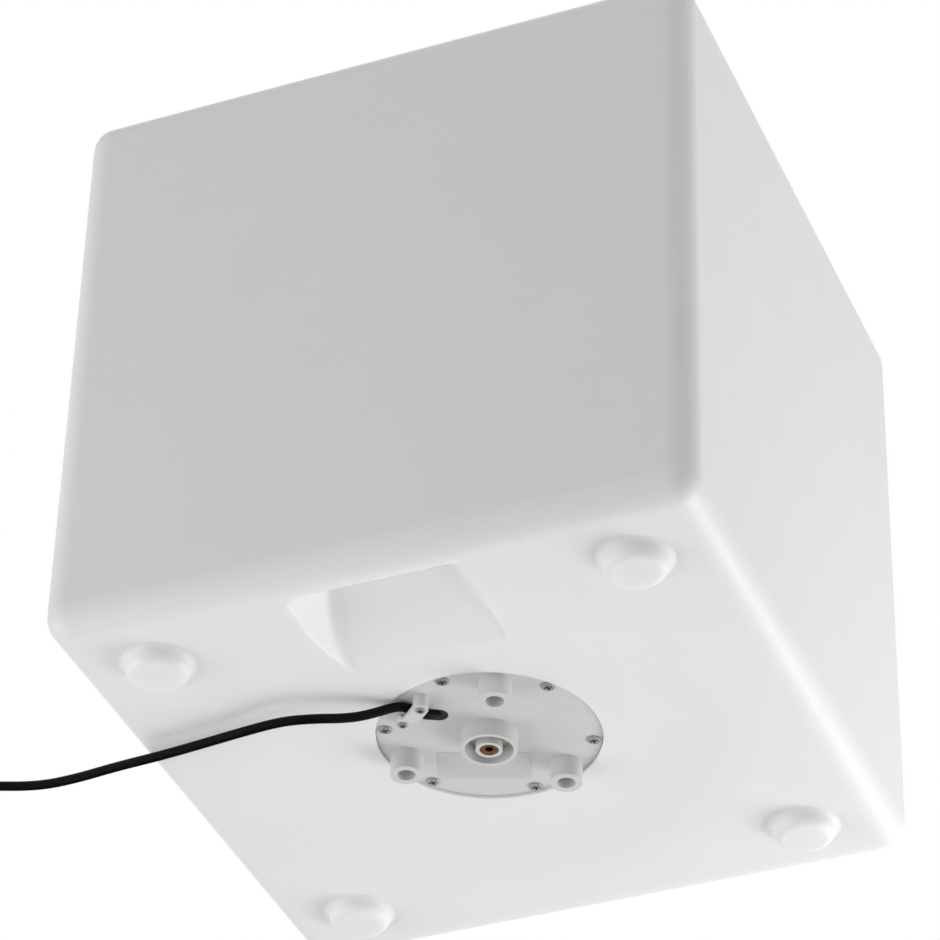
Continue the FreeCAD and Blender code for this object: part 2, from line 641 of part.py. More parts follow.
def arc_by_tangent(start, tangent, end):
    """Arc from start to end that leaves along a tangent."""
    chord = end - start
    half = tangent.getAngle(chord)
    across = (chord - tangent * chord.dot(tangent))
    if across.Length < 1e-9:
        return Part.LineSegment(start, end).toShape()
    across.normalize()
    bulge = chord.Length / 2 * math.tan(half / 2)
    side = (tangent - chord * (tangent.dot(chord) / chord.dot(chord))).normalize()
    return Part.Arc(start, start + chord * 0.5 + side * bulge, end).toShape()


def coil_pitch():
    """Distance between neighbouring turns, and between layers."""
    return CORD_DIAMETER + COIL_GAP


def coil_state(quarter):
    """Radius and level of the coil's centre line at a count of quarter turns."""
    leg = min(int(quarter // COIL_QUARTERS), COIL_LAYERS - 1)
    along = quarter - leg * COIL_QUARTERS
    inward = leg % 2 == 0
    span = coil_pitch() / 4
    widest = COIL_INNER_RADIUS + COIL_QUARTERS * span
    radius = widest - along * span if inward else COIL_INNER_RADIUS + along * span
    floor = TIE_THICKNESS + TIE_GAP + CORD_RADIUS
    climb = leg
    if along < 1 and leg > 0:
        climb = leg - 0.5 + 0.5 * smooth(along)
    elif along > COIL_QUARTERS - 1 and leg < COIL_LAYERS - 1:
        climb = leg + 0.5 * (1 - smooth(COIL_QUARTERS - along))
    return radius, floor + climb * coil_pitch()


def smooth(t):
    """Half of a smooth step: steep at 0 and level at 1."""
    return math.sin(min(t, 1.0) * math.pi / 2)


def coil_point(quarter):
    """Point of the coil's centre line."""
    radius, level = coil_state(quarter)
    return polar(radius, COIL_START_ANGLE + 90.0 * quarter, level) + Vector(*COIL_CENTRE, 0)


def coil_tangent(quarter):
    """Unit tangent of the coil's centre line, taken across a reversal."""
    step = 0.02
    total = coil_total()
    before, after = max(quarter - step, 0), min(quarter + step, total)
    return (coil_point(after) - coil_point(before)).normalize()


def coil_total():
    """Quarter turns in the whole coil."""
    return (COIL_LAYERS - 1) * COIL_QUARTERS + COIL_LAST_QUARTERS


def coil_start():
    """Start of the coil's first straight end, with its direction."""
    lead = coil_tangent(0)
    return coil_point(0) - lead * CORD_DIAMETER, lead


def coil_end():
    """End of the coil's last straight end, with its direction."""
    lead = coil_tangent(coil_total())
    return coil_point(coil_total()) + lead * CORD_DIAMETER, lead


def make_cord_coil():
    """Put-away length: one tube that spirals in and out again in layers."""
    edges = [Part.LineSegment(coil_start()[0], coil_point(0)).toShape()]
    for quarter in range(coil_total()):
        arcs = biarc(coil_point(quarter), coil_tangent(quarter),
                     coil_point(quarter + 1), coil_tangent(quarter + 1))[1]
        edges += arcs
    edges.append(Part.LineSegment(coil_point(coil_total()), coil_end()[0]).toShape())
    wire = Part.Wire(edges)
    solid = swept(wire, CORD_RADIUS, coil_tangent(0))
    expected = math.pi * CORD_RADIUS ** 2 * wire.Length
    print(f"cord_coil: length {wire.Length:.1f}, turns {coil_total() / 4}, least gap "
          f"{least_gap(edges):.2f}, volume ratio {solid.Volume / expected:.4f}")
    return solid


def least_gap(edges):
    """Least clear distance of the coiled tube to itself, measured on points along it."""
    points, places, run = [], [], 0.0
    for edge in edges:
        steps = max(int(edge.Length / 2.5), 2)
        for p in edge.discretize(steps + 1)[:-1]:
            points.append(p)
            places.append(run + edge.Length * (len(points) % steps) / steps)
        run += edge.Length
    near = 6 * CORD_DIAMETER
    best = run
    for i, p in enumerate(points):
        for j in range(i + int(near / 2.5), len(points)):
            best = min(best, p.distanceToPoint(points[j]))
    return best - CORD_DIAMETER


def clamp_crossing():
    """Point of the cord's centre line under the clamp."""
    post, pad = Vector(*CLAMP_POST, CORD_LEVEL), Vector(*CLAMP_PAD, CORD_LEVEL)
    return post + (pad - post).normalize() * CLAMP_CROSSING


def inner_cord_points():
    """Route of the held cord: from its cut sheath through the grommet, under the clamp and round its bend."""
    cross = clamp_crossing()
    return [(-8.6, -24.6, 33.0), (-16.2, -27.2, 27.6), (-21.3, -31.3, 19.4),
            (-25.1, -36.7, 16.0), tuple(cross), (-35.6, -50.6, 15.6),
            (-41.3, -53.9, 13.3), (-47.0, -56.2, 11.0)]


def free_cord_points():
    """Route of the free cord from the clamp, down to the floor and out to the coil."""
    start = inner_cord_points()[-1]
    lie = CORD_RADIUS + FLOOR_GAP
    hand_placed = [(-53.5, -58.82, 8.38), (-64.0, -64.4, 5.0), (-80.5, -73.4, lie), (-99.0, -77.4, lie),
                   (-122.0, -75.8, lie), (-151.0, -72.4, lie), (-181.0, -69.2, lie), (-212.0, -67.6, lie),
                   (-242.0, -64.2, lie), (-266.0, -64.8, lie)]
    first, lead = coil_start()
    return [start] + hand_placed + [tuple(first - lead * CORD_RUN), tuple(first)]


def plug_entry():
    """Point where the cord enters the plug, half the plug's height above the floor."""
    return Vector(*PLUG_ENTRY, PLUG_BODY_HEIGHT / 2)


def plug_cord_points():
    """Route of the short free cord from the coil down to the plug."""
    last, lead = coil_end()
    low = PLUG_BODY_HEIGHT / 2
    return [tuple(last), tuple(last + lead * CORD_RUN), (-340.5, -176.0, 15.0), (-325.0, -189.5, low),
            tuple(plug_entry())]


def make_coil_tie():
    """Strap round the coil's bundle of turns."""
    span = coil_pitch() / 4 * COIL_LAST_QUARTERS
    inner = COIL_INNER_RADIUS - CORD_RADIUS - TIE_GAP
    outer = COIL_INNER_RADIUS + span + CORD_RADIUS + TIE_GAP
    high = 2 * CORD_RADIUS + (COIL_LAYERS - 1) * coil_pitch() + 2 * TIE_GAP
    hole = block(outer - inner, TIE_WIDTH + 2, high, (inner + outer) / 2, 0, TIE_THICKNESS)
    band = block(outer - inner + 2 * TIE_THICKNESS, TIE_WIDTH, high + 2 * TIE_THICKNESS,
                 (inner + outer) / 2, 0, 0)
    soft = [edge for edge in band.Edges if edge.BoundBox.YLength > TIE_WIDTH / 2]
    return at(band.makeFillet(TIE_THICKNESS * 0.9, soft).cut(hole), *COIL_CENTRE, 0, TIE_ANGLE)


# ---- plug ---------------------------------------------------------------------------------
def plug_placement():
    """Placement that sets the plug's own +X along the floor at the cord's end."""
    points = plug_cord_points()
    heading = Vector(*points[-1]) - Vector(*points[-2])
    heading.z = 0
    return Placement(plug_entry(), Rotation(Vector(1, 0, 0), heading))


def make_plug_body():
    """Flat two-pin plug body with a tapered, ribbed cord guard."""
    guard = Part.makeCone(PLUG_GUARD_RADIUS, PLUG_NOSE_RADIUS, PLUG_GUARD_LENGTH, Vector(0, 0, 0), Vector(1, 0, 0))
    half_width, half_height = PLUG_BODY_WIDTH / 2, PLUG_BODY_HEIGHT / 2
    start = PLUG_GUARD_LENGTH
    shoulder = start + PLUG_BODY_LENGTH / 3
    end = start + PLUG_BODY_LENGTH
    neck = PLUG_NOSE_RADIUS
    face = polygon([(start, -neck, -half_height), (shoulder, -half_width, -half_height),
                    (end, -half_width, -half_height), (end, half_width, -half_height),
                    (shoulder, half_width, -half_height), (start, neck, -half_height)])
    body = face.extrude(Vector(0, 0, PLUG_BODY_HEIGHT))
    body = body.makeFillet(half_height * 0.45, body.Edges)
    plug = unite(guard, body)
    grooves = [ring(PLUG_NOSE_RADIUS + 2, PLUG_GUARD_RADIUS - 0.4, x, x + 1.4) for x in (4.0, 8.0, 12.0)]
    for groove in grooves:
        groove.rotate(Vector(0, 0, 0), Vector(0, 1, 0), 90)
    bores = [Part.makeCylinder(PLUG_PIN_NECK_RADIUS, PLUG_PIN_ROOT + 1, Vector(end - PLUG_PIN_ROOT, y, 0), Vector(1, 0, 0))
             for y in (-PLUG_PIN_SPACING / 2, PLUG_PIN_SPACING / 2)]
    plug = plug.cut(Part.makeCompound(bores)).cut(Part.makeCompound(grooves))
    plug.Placement = plug_placement()
    return plug


def make_plug_pins():
    """Two round pins with rounded ends and a narrower root in the body."""
    face = PLUG_GUARD_LENGTH + PLUG_BODY_LENGTH
    root, ahead = face - PLUG_PIN_ROOT, Vector(1, 0, 0)
    pins = []
    for y in (-PLUG_PIN_SPACING / 2, PLUG_PIN_SPACING / 2):
        pin = Part.makeCylinder(PLUG_PIN_RADIUS, PLUG_PIN_LENGTH - PLUG_PIN_NECK, Vector(face + PLUG_PIN_NECK, y, 0), ahead)
        pin = filleted_where(pin, PLUG_PIN_RADIUS * 0.6, lambda middle, edge: middle.x > face + PLUG_PIN_LENGTH / 2)
        pins.append(unite(pin, Part.makeCylinder(PLUG_PIN_NECK_RADIUS, PLUG_PIN_ROOT + PLUG_PIN_NECK + 1,
                                                 Vector(root, y, 0), ahead)))
    group = Part.makeCompound(pins)
    group.Placement = plug_placement()
    return group


# ---- lampholder and bracket ---------------------------------------------------------------
def make_holder_bracket():
    """Steel strip across the two standoffs."""
    strip = block(BRACKET_LENGTH, BRACKET_WIDTH, BRACKET_THICKNESS, low=BRACKET_LEVEL)
    corners = [edge for edge in strip.Edges if edge.BoundBox.ZLength > BRACKET_THICKNESS / 2]
    strip = strip.makeFillet(BRACKET_WIDTH / 3, corners)
    holes = [cylinder(SMALL_SCREW_RADIUS + SCREW_PLAY, 0, HOLDER_LEVEL + 1, x) for x in (-STANDOFF_X, STANDOFF_X)]
    holes.append(cylinder(NIPPLE_RADIUS + SCREW_PLAY, 0, HOLDER_LEVEL + 1))
    return strip.cut(Part.makeCompound(holes))


def make_holder_nipple():
    """Hollow threaded nipple that joins the lampholder to the bracket."""
    return ring(NIPPLE_RADIUS, NIPPLE_BORE_RADIUS, BRACKET_LEVEL - NIPPLE_BELOW, HOLDER_LEVEL + NIPPLE_ABOVE)


def make_nipple_nut():
    """Hexagon nut under the bracket."""
    corner = NUT_ACROSS_FLATS / math.sqrt(3)
    hexagon = polygon([tuple(polar(corner, 60.0 * n, BRACKET_LEVEL - NUT_HEIGHT)) for n in range(6)])
    return hexagon.extrude(Vector(0, 0, NUT_HEIGHT)).cut(cylinder(NIPPLE_RADIUS + SCREW_PLAY, 0, BRACKET_LEVEL + 1))


def thread_profile(radius, depth, low, turns, reverse=False):
    """Half-round ridges down a thread in the XZ plane, as a chain of arcs."""
    edges = []
    quarter = CAP_PITCH / 4
    swell = (depth / 2 * depth / 2 + quarter * quarter) / (2 * depth / 2)
    for n in range(2 * turns):
        base = low + n * CAP_PITCH / 2
        top = base + CAP_PITCH / 2
        crest = 1 if n % 2 == 0 else -1
        mid_radius = radius - depth / 2
        bow = min(depth / 2, swell)
        through = Vector(mid_radius + crest * bow, 0, (base + top) / 2)
        edges.append(Part.Arc(Vector(mid_radius, 0, base), through, Vector(mid_radius, 0, top)).toShape())
    return edges


def threaded_sleeve(outer_radius, wall, low, height, turns, thread_low):
    """Thin sleeve whose middle is a round thread inside and out."""
    ends = []
    shells = []
    for radius in (outer_radius, outer_radius - wall):
        mid = radius - CAP_THREAD_DEPTH / 2
        thread_high = thread_low + turns * CAP_PITCH
        outline = [line((mid, low), (mid, thread_low))] if thread_low > low else []
        outline += thread_profile(radius, CAP_THREAD_DEPTH, thread_low, turns)
        outline += [line((mid, thread_high), (mid, low + height)), line((mid, low + height), (0, low + height)),
                    line((0, low + height), (0, low)), line((0, low), (mid, low))]
        shells.append(revolved(outline))
        ends.append(mid)
    return shells[0].cut(shells[1])


def cap_low():
    """Lower end of the lamp's metal cap."""
    return HOLDER_FLOOR_LEVEL + 2 * CONTACT_THICKNESS + TIP_HEIGHT + INSULATOR_HEIGHT


def cap_height():
    """Height of the lamp's metal cap."""
    return CAP_TURNS * CAP_PITCH + CAP_SKIRT


def liner_radius():
    """Outer radius of the lampholder's threaded liner."""
    return CAP_RADIUS + THREAD_PLAY + LINER_THICKNESS


def make_lampholder_body():
    """Two-stage round housing with a threaded neck below and an open mouth above."""
    top = HOLDER_LEVEL + HOLDER_HEIGHT
    neck = cylinder(HOLDER_NECK_RADIUS, HOLDER_LEVEL, HOLDER_LEVEL + HOLDER_NECK_HEIGHT)
    shoulder_top = HOLDER_LEVEL + HOLDER_NECK_HEIGHT + HOLDER_SHOULDER
    shoulder = Part.makeCone(HOLDER_NECK_RADIUS, HOLDER_RADIUS, HOLDER_SHOULDER,
                             Vector(0, 0, HOLDER_LEVEL + HOLDER_NECK_HEIGHT))
    drum = cylinder(HOLDER_RADIUS, shoulder_top, top)
    body = unite(neck, shoulder, drum)
    body = filleted_where(body, HOLDER_WALL / 2, lambda middle, edge: middle.z > top - 0.1)
    inside = liner_radius() + SCREW_PASS
    pocket = cylinder(inside, HOLDER_FLOOR_LEVEL, top + 1)
    chamber = cylinder(HOLDER_NECK_RADIUS - HOLDER_WALL, HOLDER_LEVEL + NIPPLE_ABOVE, HOLDER_FLOOR_LEVEL - HOLDER_WALL)
    entry = cylinder(NIPPLE_RADIUS + SCREW_PLAY, 0, HOLDER_LEVEL + NIPPLE_ABOVE + 1)
    wires = [cylinder(CORE_DIAMETER / 2 + SCREW_PASS, HOLDER_LEVEL, HOLDER_FLOOR_LEVEL + 1, x, y)
             for x, y in lead_holes()]
    return body.cut(Part.makeCompound([pocket, chamber, entry] + wires))


def lead_holes():
    """Where the two lamp leads come up through the floor of the lampholder."""
    return [(-CORE_DIAMETER, 0.0), (CORE_DIAMETER, 0.0)]


def make_lampholder_liner():
    """Threaded metal liner that takes the lamp's cap."""
    low = HOLDER_FLOOR_LEVEL + 2 * CONTACT_THICKNESS + TIP_HEIGHT
    return threaded_sleeve(liner_radius(), LINER_THICKNESS, low, LINER_HEIGHT, CAP_TURNS, cap_low())


def bent_contact(points, width):
    """Sprung strip through (distance, level) points, extruded across."""
    lower = [(x, -width / 2, z) for x, z in points]
    upper = [(x, -width / 2, z + CONTACT_THICKNESS) for x, z in reversed(points)]
    return polygon(lower + upper).extrude(Vector(0, width, 0))


def make_centre_contact():
    """Sprung tongue under the lamp's tip."""
    floor = HOLDER_FLOOR_LEVEL
    reach = TIP_RADIUS + CONTACT_WIDTH / 2
    points = [(-reach, floor), (-reach / 2, floor), (-1.0, floor + CONTACT_THICKNESS),
              (TIP_RADIUS / 2, floor + CONTACT_THICKNESS), (TIP_RADIUS, floor + CONTACT_THICKNESS / 2)]
    return bent_contact(points, CONTACT_WIDTH)


def make_side_contact():
    """Upright strip between the floor of the holder and the liner."""
    low = HOLDER_FLOOR_LEVEL
    outer = liner_radius() - CAP_THREAD_DEPTH / 2
    foot_length = CONTACT_WIDTH
    high = low + 2 * CONTACT_THICKNESS + TIP_HEIGHT
    foot_strip = Part.makeBox(foot_length, CONTACT_WIDTH, CONTACT_THICKNESS,
                              Vector(outer - foot_length, -CONTACT_WIDTH / 2, low))
    riser = Part.makeBox(CONTACT_THICKNESS, CONTACT_WIDTH, high - low,
                         Vector(outer - CONTACT_THICKNESS, -CONTACT_WIDTH / 2, low))
    return unite(foot_strip, riser)


# ---- lamp ---------------------------------------------------------------------------------
def make_lamp_cap():
    """Threaded metal cap of the lamp."""
    return threaded_sleeve(CAP_RADIUS, CAP_WALL, cap_low(), cap_height(), CAP_TURNS, cap_low())


def make_lamp_insulator():
    """Dark insulating cone between cap and tip."""
    low = cap_low() - INSULATOR_HEIGHT
    wide = CAP_RADIUS - CAP_THREAD_DEPTH / 2
    return Part.makeCone(TIP_RADIUS, wide, INSULATOR_HEIGHT, Vector(0, 0, low))


def make_lamp_tip():
    """Domed centre contact of the lamp."""
    low = cap_low() - INSULATOR_HEIGHT - TIP_HEIGHT
    return filleted_where(cylinder(TIP_RADIUS, low, low + TIP_HEIGHT), TIP_HEIGHT * 0.8,
                          lambda middle, edge: middle.z < low + 0.1)


def lamp_neck_level():
    """Level where the lamp's plastic body starts above the cap."""
    return cap_low() + cap_height()


def board_level():
    """Level of the underside of the LED board."""
    return lamp_neck_level() + LAMP_BODY_HEIGHT


def make_lamp_body():
    """Hollow plastic body that widens from the cap to the LED board."""
    low, high = lamp_neck_level(), lamp_neck_level() + LAMP_BODY_HEIGHT
    neck = CAP_RADIUS - CAP_THREAD_DEPTH / 2
    outline = [line((neck - LAMP_WALL, low), (neck, low))]
    outline += [Part.Arc(Vector(neck, 0, low), Vector(LAMP_RADIUS * 0.74, 0, low + LAMP_BODY_HEIGHT * 0.5),
                         Vector(LAMP_RADIUS - LAMP_WALL, 0, high)).toShape()]
    outline += [line((LAMP_RADIUS - LAMP_WALL, high), (LAMP_RADIUS - 3 * LAMP_WALL, high)),
                Part.Arc(Vector(LAMP_RADIUS - 3 * LAMP_WALL, 0, high),
                         Vector(LAMP_RADIUS * 0.74 - 1.6 * LAMP_WALL, 0, low + LAMP_BODY_HEIGHT * 0.5),
                         Vector(neck - LAMP_WALL, 0, low)).toShape()]
    return revolved(outline)


def make_led_board():
    """Round aluminium board on the rim of the lamp's body."""
    radius = LAMP_RADIUS - 2 * LAMP_WALL - SCREW_PASS
    return cylinder(radius, board_level(), board_level() + LED_BOARD_THICKNESS)


def make_led_chips():
    """LEDs in a ring on the board."""
    low = board_level() + LED_BOARD_THICKNESS
    chip = block(LED_SIZE, LED_SIZE, LED_THICKNESS, LED_CIRCLE, 0, low)
    return Part.makeCompound([at(chip, angle=360.0 / LED_COUNT * n) for n in range(LED_COUNT)])


def make_driver_board():
    """Upright driver board inside the lamp's body."""
    top = board_level()
    return block(DRIVER_WIDTH, DRIVER_THICKNESS, DRIVER_HEIGHT, low=top - DRIVER_HEIGHT)


def make_lamp_dome():
    """Opal dome of the lamp."""
    low = lamp_neck_level() + LAMP_BODY_HEIGHT
    top = cap_low() - INSULATOR_HEIGHT - TIP_HEIGHT + LAMP_HEIGHT
    rim = LAMP_RADIUS - LAMP_WALL

    def cap_solid(radius, crown):
        height = crown - low
        ball = (radius * radius + height * height) / (2 * height)
        through = Vector(ball * math.sin(math.radians(50)), 0, crown - ball + ball * math.cos(math.radians(50)))
        sweep = Part.Arc(Vector(radius, 0, low), through, Vector(0, 0, crown)).toShape()
        return revolved([line((0, low), (radius, low)), sweep, line((0, crown), (0, low))])

    return cap_solid(rim, top).cut(cap_solid(rim - LAMP_WALL, top - LAMP_WALL))


# ---- terminal block and inner wires -------------------------------------------------------
def pole_lines():
    """Distance of each pole from the middle of the terminal block."""
    return (-TERMINAL_POLE_PITCH / 2, TERMINAL_POLE_PITCH / 2)


def terminal_bore_level():
    """Level of the wire bores."""
    return PLATE_BACK + TERMINAL_SIZE[2] / 2


def make_terminal_block():
    """Two-pole block on the plate, with wire bores and screw wells."""
    x, y = TERMINAL_CENTRE
    body = block(*TERMINAL_SIZE, x, y, PLATE_BACK)
    body = filleted_where(body, 1.0, lambda middle, edge: middle.z > PLATE_BACK + TERMINAL_SIZE[2] - 0.1)
    top = PLATE_BACK + TERMINAL_SIZE[2]
    cuts = []
    for pole in pole_lines():
        cuts.append(Part.makeCylinder(TERMINAL_BORE_RADIUS, TERMINAL_SIZE[0] + 2,
                                      Vector(x - TERMINAL_SIZE[0] / 2 - 1, y + pole, terminal_bore_level()),
                                      Vector(1, 0, 0)))
        for end in (-TERMINAL_SIZE[0] / 4, TERMINAL_SIZE[0] / 4):
            cuts.append(cylinder(TERMINAL_SCREW_RADIUS, terminal_bore_level(), top + 1, x + end, y + pole))
    return body.cut(Part.makeCompound(cuts))


def make_terminal_screws():
    """Four slotted screws in the block's wells."""
    x, y = TERMINAL_CENTRE
    low = terminal_bore_level() + TERMINAL_BORE_RADIUS
    screw = cylinder(TERMINAL_SCREW_RADIUS, 0, TERMINAL_SCREW_LENGTH)
    notch = block(3 * TERMINAL_SCREW_RADIUS, TERMINAL_SCREW_RADIUS / 3, TERMINAL_SCREW_LENGTH, low=TERMINAL_SCREW_LENGTH * 0.75)
    screw = screw.cut(notch)
    places = [(x + end, y + pole) for pole in pole_lines() for end in (-TERMINAL_SIZE[0] / 4, TERMINAL_SIZE[0] / 4)]
    return Part.makeCompound([at(screw, px, py, low) for px, py in places])


def core_points(pole):
    """Route of a mains core from the cut sheath into the terminal block."""
    cut, before = [Vector(*p) for p in inner_cord_points()[:2]]
    lead = (cut - before).normalize()
    across = Vector(-lead.y, lead.x, 0).normalize()
    start = cut + across * math.copysign(CORE_OFFSET, pole)
    block_x = TERMINAL_CENTRE[0] - TERMINAL_SIZE[0] / 2
    level = terminal_bore_level()
    y = TERMINAL_CENTRE[1] + pole
    return [tuple(start), tuple(start + lead * 3.4), (start.x + 8.0, (start.y + y) / 2, start.z + 2.4),
            (block_x - 2.6, y, level + 1.0), (block_x + 4.0, y, level)]


def live_lead_points():
    """Route of the live lead, high over the plate and up through the near side of the nipple."""
    x, y = TERMINAL_CENTRE[0] + TERMINAL_SIZE[0] / 2, TERMINAL_CENTRE[1] + pole_lines()[0]
    level, near = terminal_bore_level(), lead_holes()[1][0]
    return [(x - 3.0, y, level), (x + 7.0, y + 0.6, level + 0.2), (x + 9.5, y + 10.0, level + 2.2),
            (24.0, -8.6, 30.6), (9.0, -3.0, 29.8), (near, -0.3, 31.0),
            (near, 0.0, HOLDER_LEVEL + 3.3), (near, 0.05, HOLDER_FLOOR_LEVEL)]


def neutral_lead_points():
    """Route of the neutral lead, under the live one and up through the far side of the nipple."""
    x, y = TERMINAL_CENTRE[0] + TERMINAL_SIZE[0] / 2, TERMINAL_CENTRE[1] + pole_lines()[1]
    level, far = terminal_bore_level(), lead_holes()[0][0]
    return [(x - 3.0, y, level), (x + 4.5, y + 0.4, level - 0.2), (x + 5.6, y + 7.5, level - 1.0),
            (21.0, -7.6, 26.8), (5.0, -2.2, 26.6), (far + 0.3, -0.4, 27.6),
            (far, 0.0, HOLDER_LEVEL - 2.7), (far, 0.05, HOLDER_FLOOR_LEVEL)]


def make_cord_grommet():
    """Rubber bush that fills the long hole round the cord."""
    plug = slot(-SCREW_PLAY, PLATE_FACE, PLATE_BACK)
    flange = slot(GROMMET_FLANGE, PLATE_BACK, PLATE_BACK + GROMMET_LIP)
    passage, _ = rounded_path(inner_cord_points())
    heading = Vector(*inner_cord_points()[1]) - Vector(*inner_cord_points()[0])
    return unite(plug, flange).cut(swept(passage, CORD_RADIUS + SCREW_PLAY, heading))


# ---- the parts ----------------------------------------------------------------------------
def build():
    """Every sub-part by its name."""
    live, neutral = pole_lines()
    return {
        "cube_shell": make_cube_shell(),
        "base_plate": make_base_plate(),
        "fixing_cup": make_fixing_cup(),
        "base_gasket": make_base_gasket(),
        "plate_screws": make_plate_screws(),
        "fixing_insert": make_fixing_insert(),
        "rating_label": make_rating_label(),
        "cord_clamp": make_cord_clamp(),
        "clamp_screws": make_clamp_screws(),
        "cord_grommet": make_cord_grommet(),
        "holder_bracket": make_holder_bracket(),
        "bracket_screws": make_bracket_screws(),
        "holder_nipple": make_holder_nipple(),
        "nipple_nut": make_nipple_nut(),
        "lampholder_body": make_lampholder_body(),
        "lampholder_liner": make_lampholder_liner(),
        "centre_contact": make_centre_contact(),
        "side_contact": make_side_contact(),
        "lamp_cap": make_lamp_cap(),
        "lamp_insulator": make_lamp_insulator(),
        "lamp_tip": make_lamp_tip(),
        "lamp_body": make_lamp_body(),
        "led_board": make_led_board(),
        "led_chips": make_led_chips(),
        "driver_board": make_driver_board(),
        "lamp_dome": make_lamp_dome(),
        "terminal_block": make_terminal_block(),
        "terminal_screws": make_terminal_screws(),
        "live_core": tube("live_core", core_points(live), CORE_DIAMETER),
        "neutral_core": tube("neutral_core", core_points(neutral), CORE_DIAMETER),
        "live_lead": tube("live_lead", live_lead_points(), CORE_DIAMETER),
        "neutral_lead": tube("neutral_lead", neutral_lead_points(), CORE_DIAMETER),
        "inner_cord": tube("inner_cord", inner_cord_points(), CORD_DIAMETER),
        "power_cord": tube("power_cord", free_cord_points(), CORD_DIAMETER),
        "cord_coil": make_cord_coil(),
        "plug_cord": tube("plug_cord", plug_cord_points(), CORD_DIAMETER),
        "coil_tie": make_coil_tie(),
        "plug_body": make_plug_body(),
        "plug_pins": make_plug_pins(),
    }


os.makedirs("parts", exist_ok=True)
for name, shape in build().items():
    if not shape.isValid():
        print(name, "is not valid")
    print(f"{name}: solids {len(shape.Solids)}, volume {shape.Volume / 1000:.2f} cm3")
    shape.exportStep(f"parts/{name}.step")
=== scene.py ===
"""Garden cube light seen from below: its finishes, its cord, the studio and the camera."""

import math

import bpy
import numpy as np
from bpy.props import FloatProperty, FloatVectorProperty, IntProperty, PointerProperty
from bpy.types import NodeSocket, Operator, Panel, PropertyGroup
from mathutils import Matrix, Vector


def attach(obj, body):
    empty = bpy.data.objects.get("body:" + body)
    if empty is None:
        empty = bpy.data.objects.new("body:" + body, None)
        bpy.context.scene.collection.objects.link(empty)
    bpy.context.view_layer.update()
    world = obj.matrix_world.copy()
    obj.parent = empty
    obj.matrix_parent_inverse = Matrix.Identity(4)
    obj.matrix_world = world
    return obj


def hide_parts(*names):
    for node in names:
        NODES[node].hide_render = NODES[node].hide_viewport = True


bl_info = {
    "name": "Garden Cube Light",
    "version": (1, 0, 0),
    "blender": (4, 5, 0),
    "location": "View3D > Sidebar > Cube Light",
    "description": "Finishes, cord and studio of a moulded cube light on its packed model",
    "category": "Add Mesh",
}

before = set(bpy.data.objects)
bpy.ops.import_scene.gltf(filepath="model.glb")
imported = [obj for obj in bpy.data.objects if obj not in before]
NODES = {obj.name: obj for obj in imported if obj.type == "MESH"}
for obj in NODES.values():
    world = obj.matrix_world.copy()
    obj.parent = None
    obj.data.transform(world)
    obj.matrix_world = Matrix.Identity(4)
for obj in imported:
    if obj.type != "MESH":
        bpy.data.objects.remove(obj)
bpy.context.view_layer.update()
MM = 0.001

# The photograph's camera: where it stands and how it is turned, measured from the cube's
# edges, its lens and sensor in millimetres, and how far it sees in metres.
CAMERA_PLACE = (0.79114, -1.89980, -1.34800)
CAMERA_RIGHT = (0.926052, 0.376826, 0.020714)
CAMERA_UP = (0.212842, -0.566810, 0.795880)
CAMERA_FORWARD = (-0.311649, 0.732618, 0.605100)
CAMERA_LENS = 158.86
CAMERA_SENSOR = 36.0
CAMERA_REACH = 100.0

# Route of the free cord in metres: from the bend under the clamp to the floor, past the
# cube's left side and up to the coil, then from the coil down to the plug.
CORD_TO_COIL = (
    (-0.0470, -0.0562, 0.0110),
    (-0.0535, -0.0588, 0.0084),
    (-0.0640, -0.0644, 0.0050),
    (-0.0805, -0.0734, 0.0030),
    (-0.0990, -0.0774, 0.0030),
    (-0.1220, -0.0758, 0.0030),
    (-0.1510, -0.0724, 0.0030),
    (-0.1810, -0.0692, 0.0030),
    (-0.2120, -0.0676, 0.0030),
    (-0.2420, -0.0642, 0.0030),
    (-0.2660, -0.0648, 0.0030),
    (-0.2917, -0.0732, 0.0036),
    (-0.3100, -0.0796, 0.0043),
)
CORD_TO_PLUG = (
    (-0.3482, -0.1586, 0.0235),
    (-0.3405, -0.1760, 0.0150),
    (-0.3250, -0.1895, 0.0070),
    (-0.3010, -0.1965, 0.0070),
)

# The coil: its middle in metres, its layers, and the quarter turns in each layer but the
# last and in the last.
COIL_CENTRE = (-0.317, -0.124)
COIL_LAYERS = 4
LAYER_QUARTERS = 7
LAST_QUARTERS = 8

# Smoothness of the cord: the spline's order, its steps from point to point, and the steps
# round a quarter of the sheath.
CORD_ORDER = 3
CORD_STEPS = 8
CORD_ROUND_STEPS = 5

# The floor lies a little under the feet, so that their faces don't coincide.
FLOOR_LEVEL = -0.2 * MM

# Strength of the white surround as a light, and as it is seen or mirrored.
SURROUND_LIGHT = 0.53
SURROUND_SEEN = 1.0


# ---- sizes and colours that a user would change -------------------------------------------
def linear(code):
    """Linear colour of an sRGB hex code."""
    values = [int(code[i:i + 2], 16) / 255 for i in (1, 3, 5)]
    return tuple(v / 12.92 if v <= 0.04045 else ((v + 0.055) / 1.055) ** 2.4 for v in values)


def length(name, description, default):
    """Property for a length in metres."""
    return FloatProperty(name=name, description=description, default=default, min=0.0,
                         unit="LENGTH")


def colour(name, description, code):
    """Property for a colour given as an sRGB hex code."""
    return FloatVectorProperty(name=name, description=description, default=linear(code),
                               size=3, min=0.0, max=1.0, subtype="COLOR")


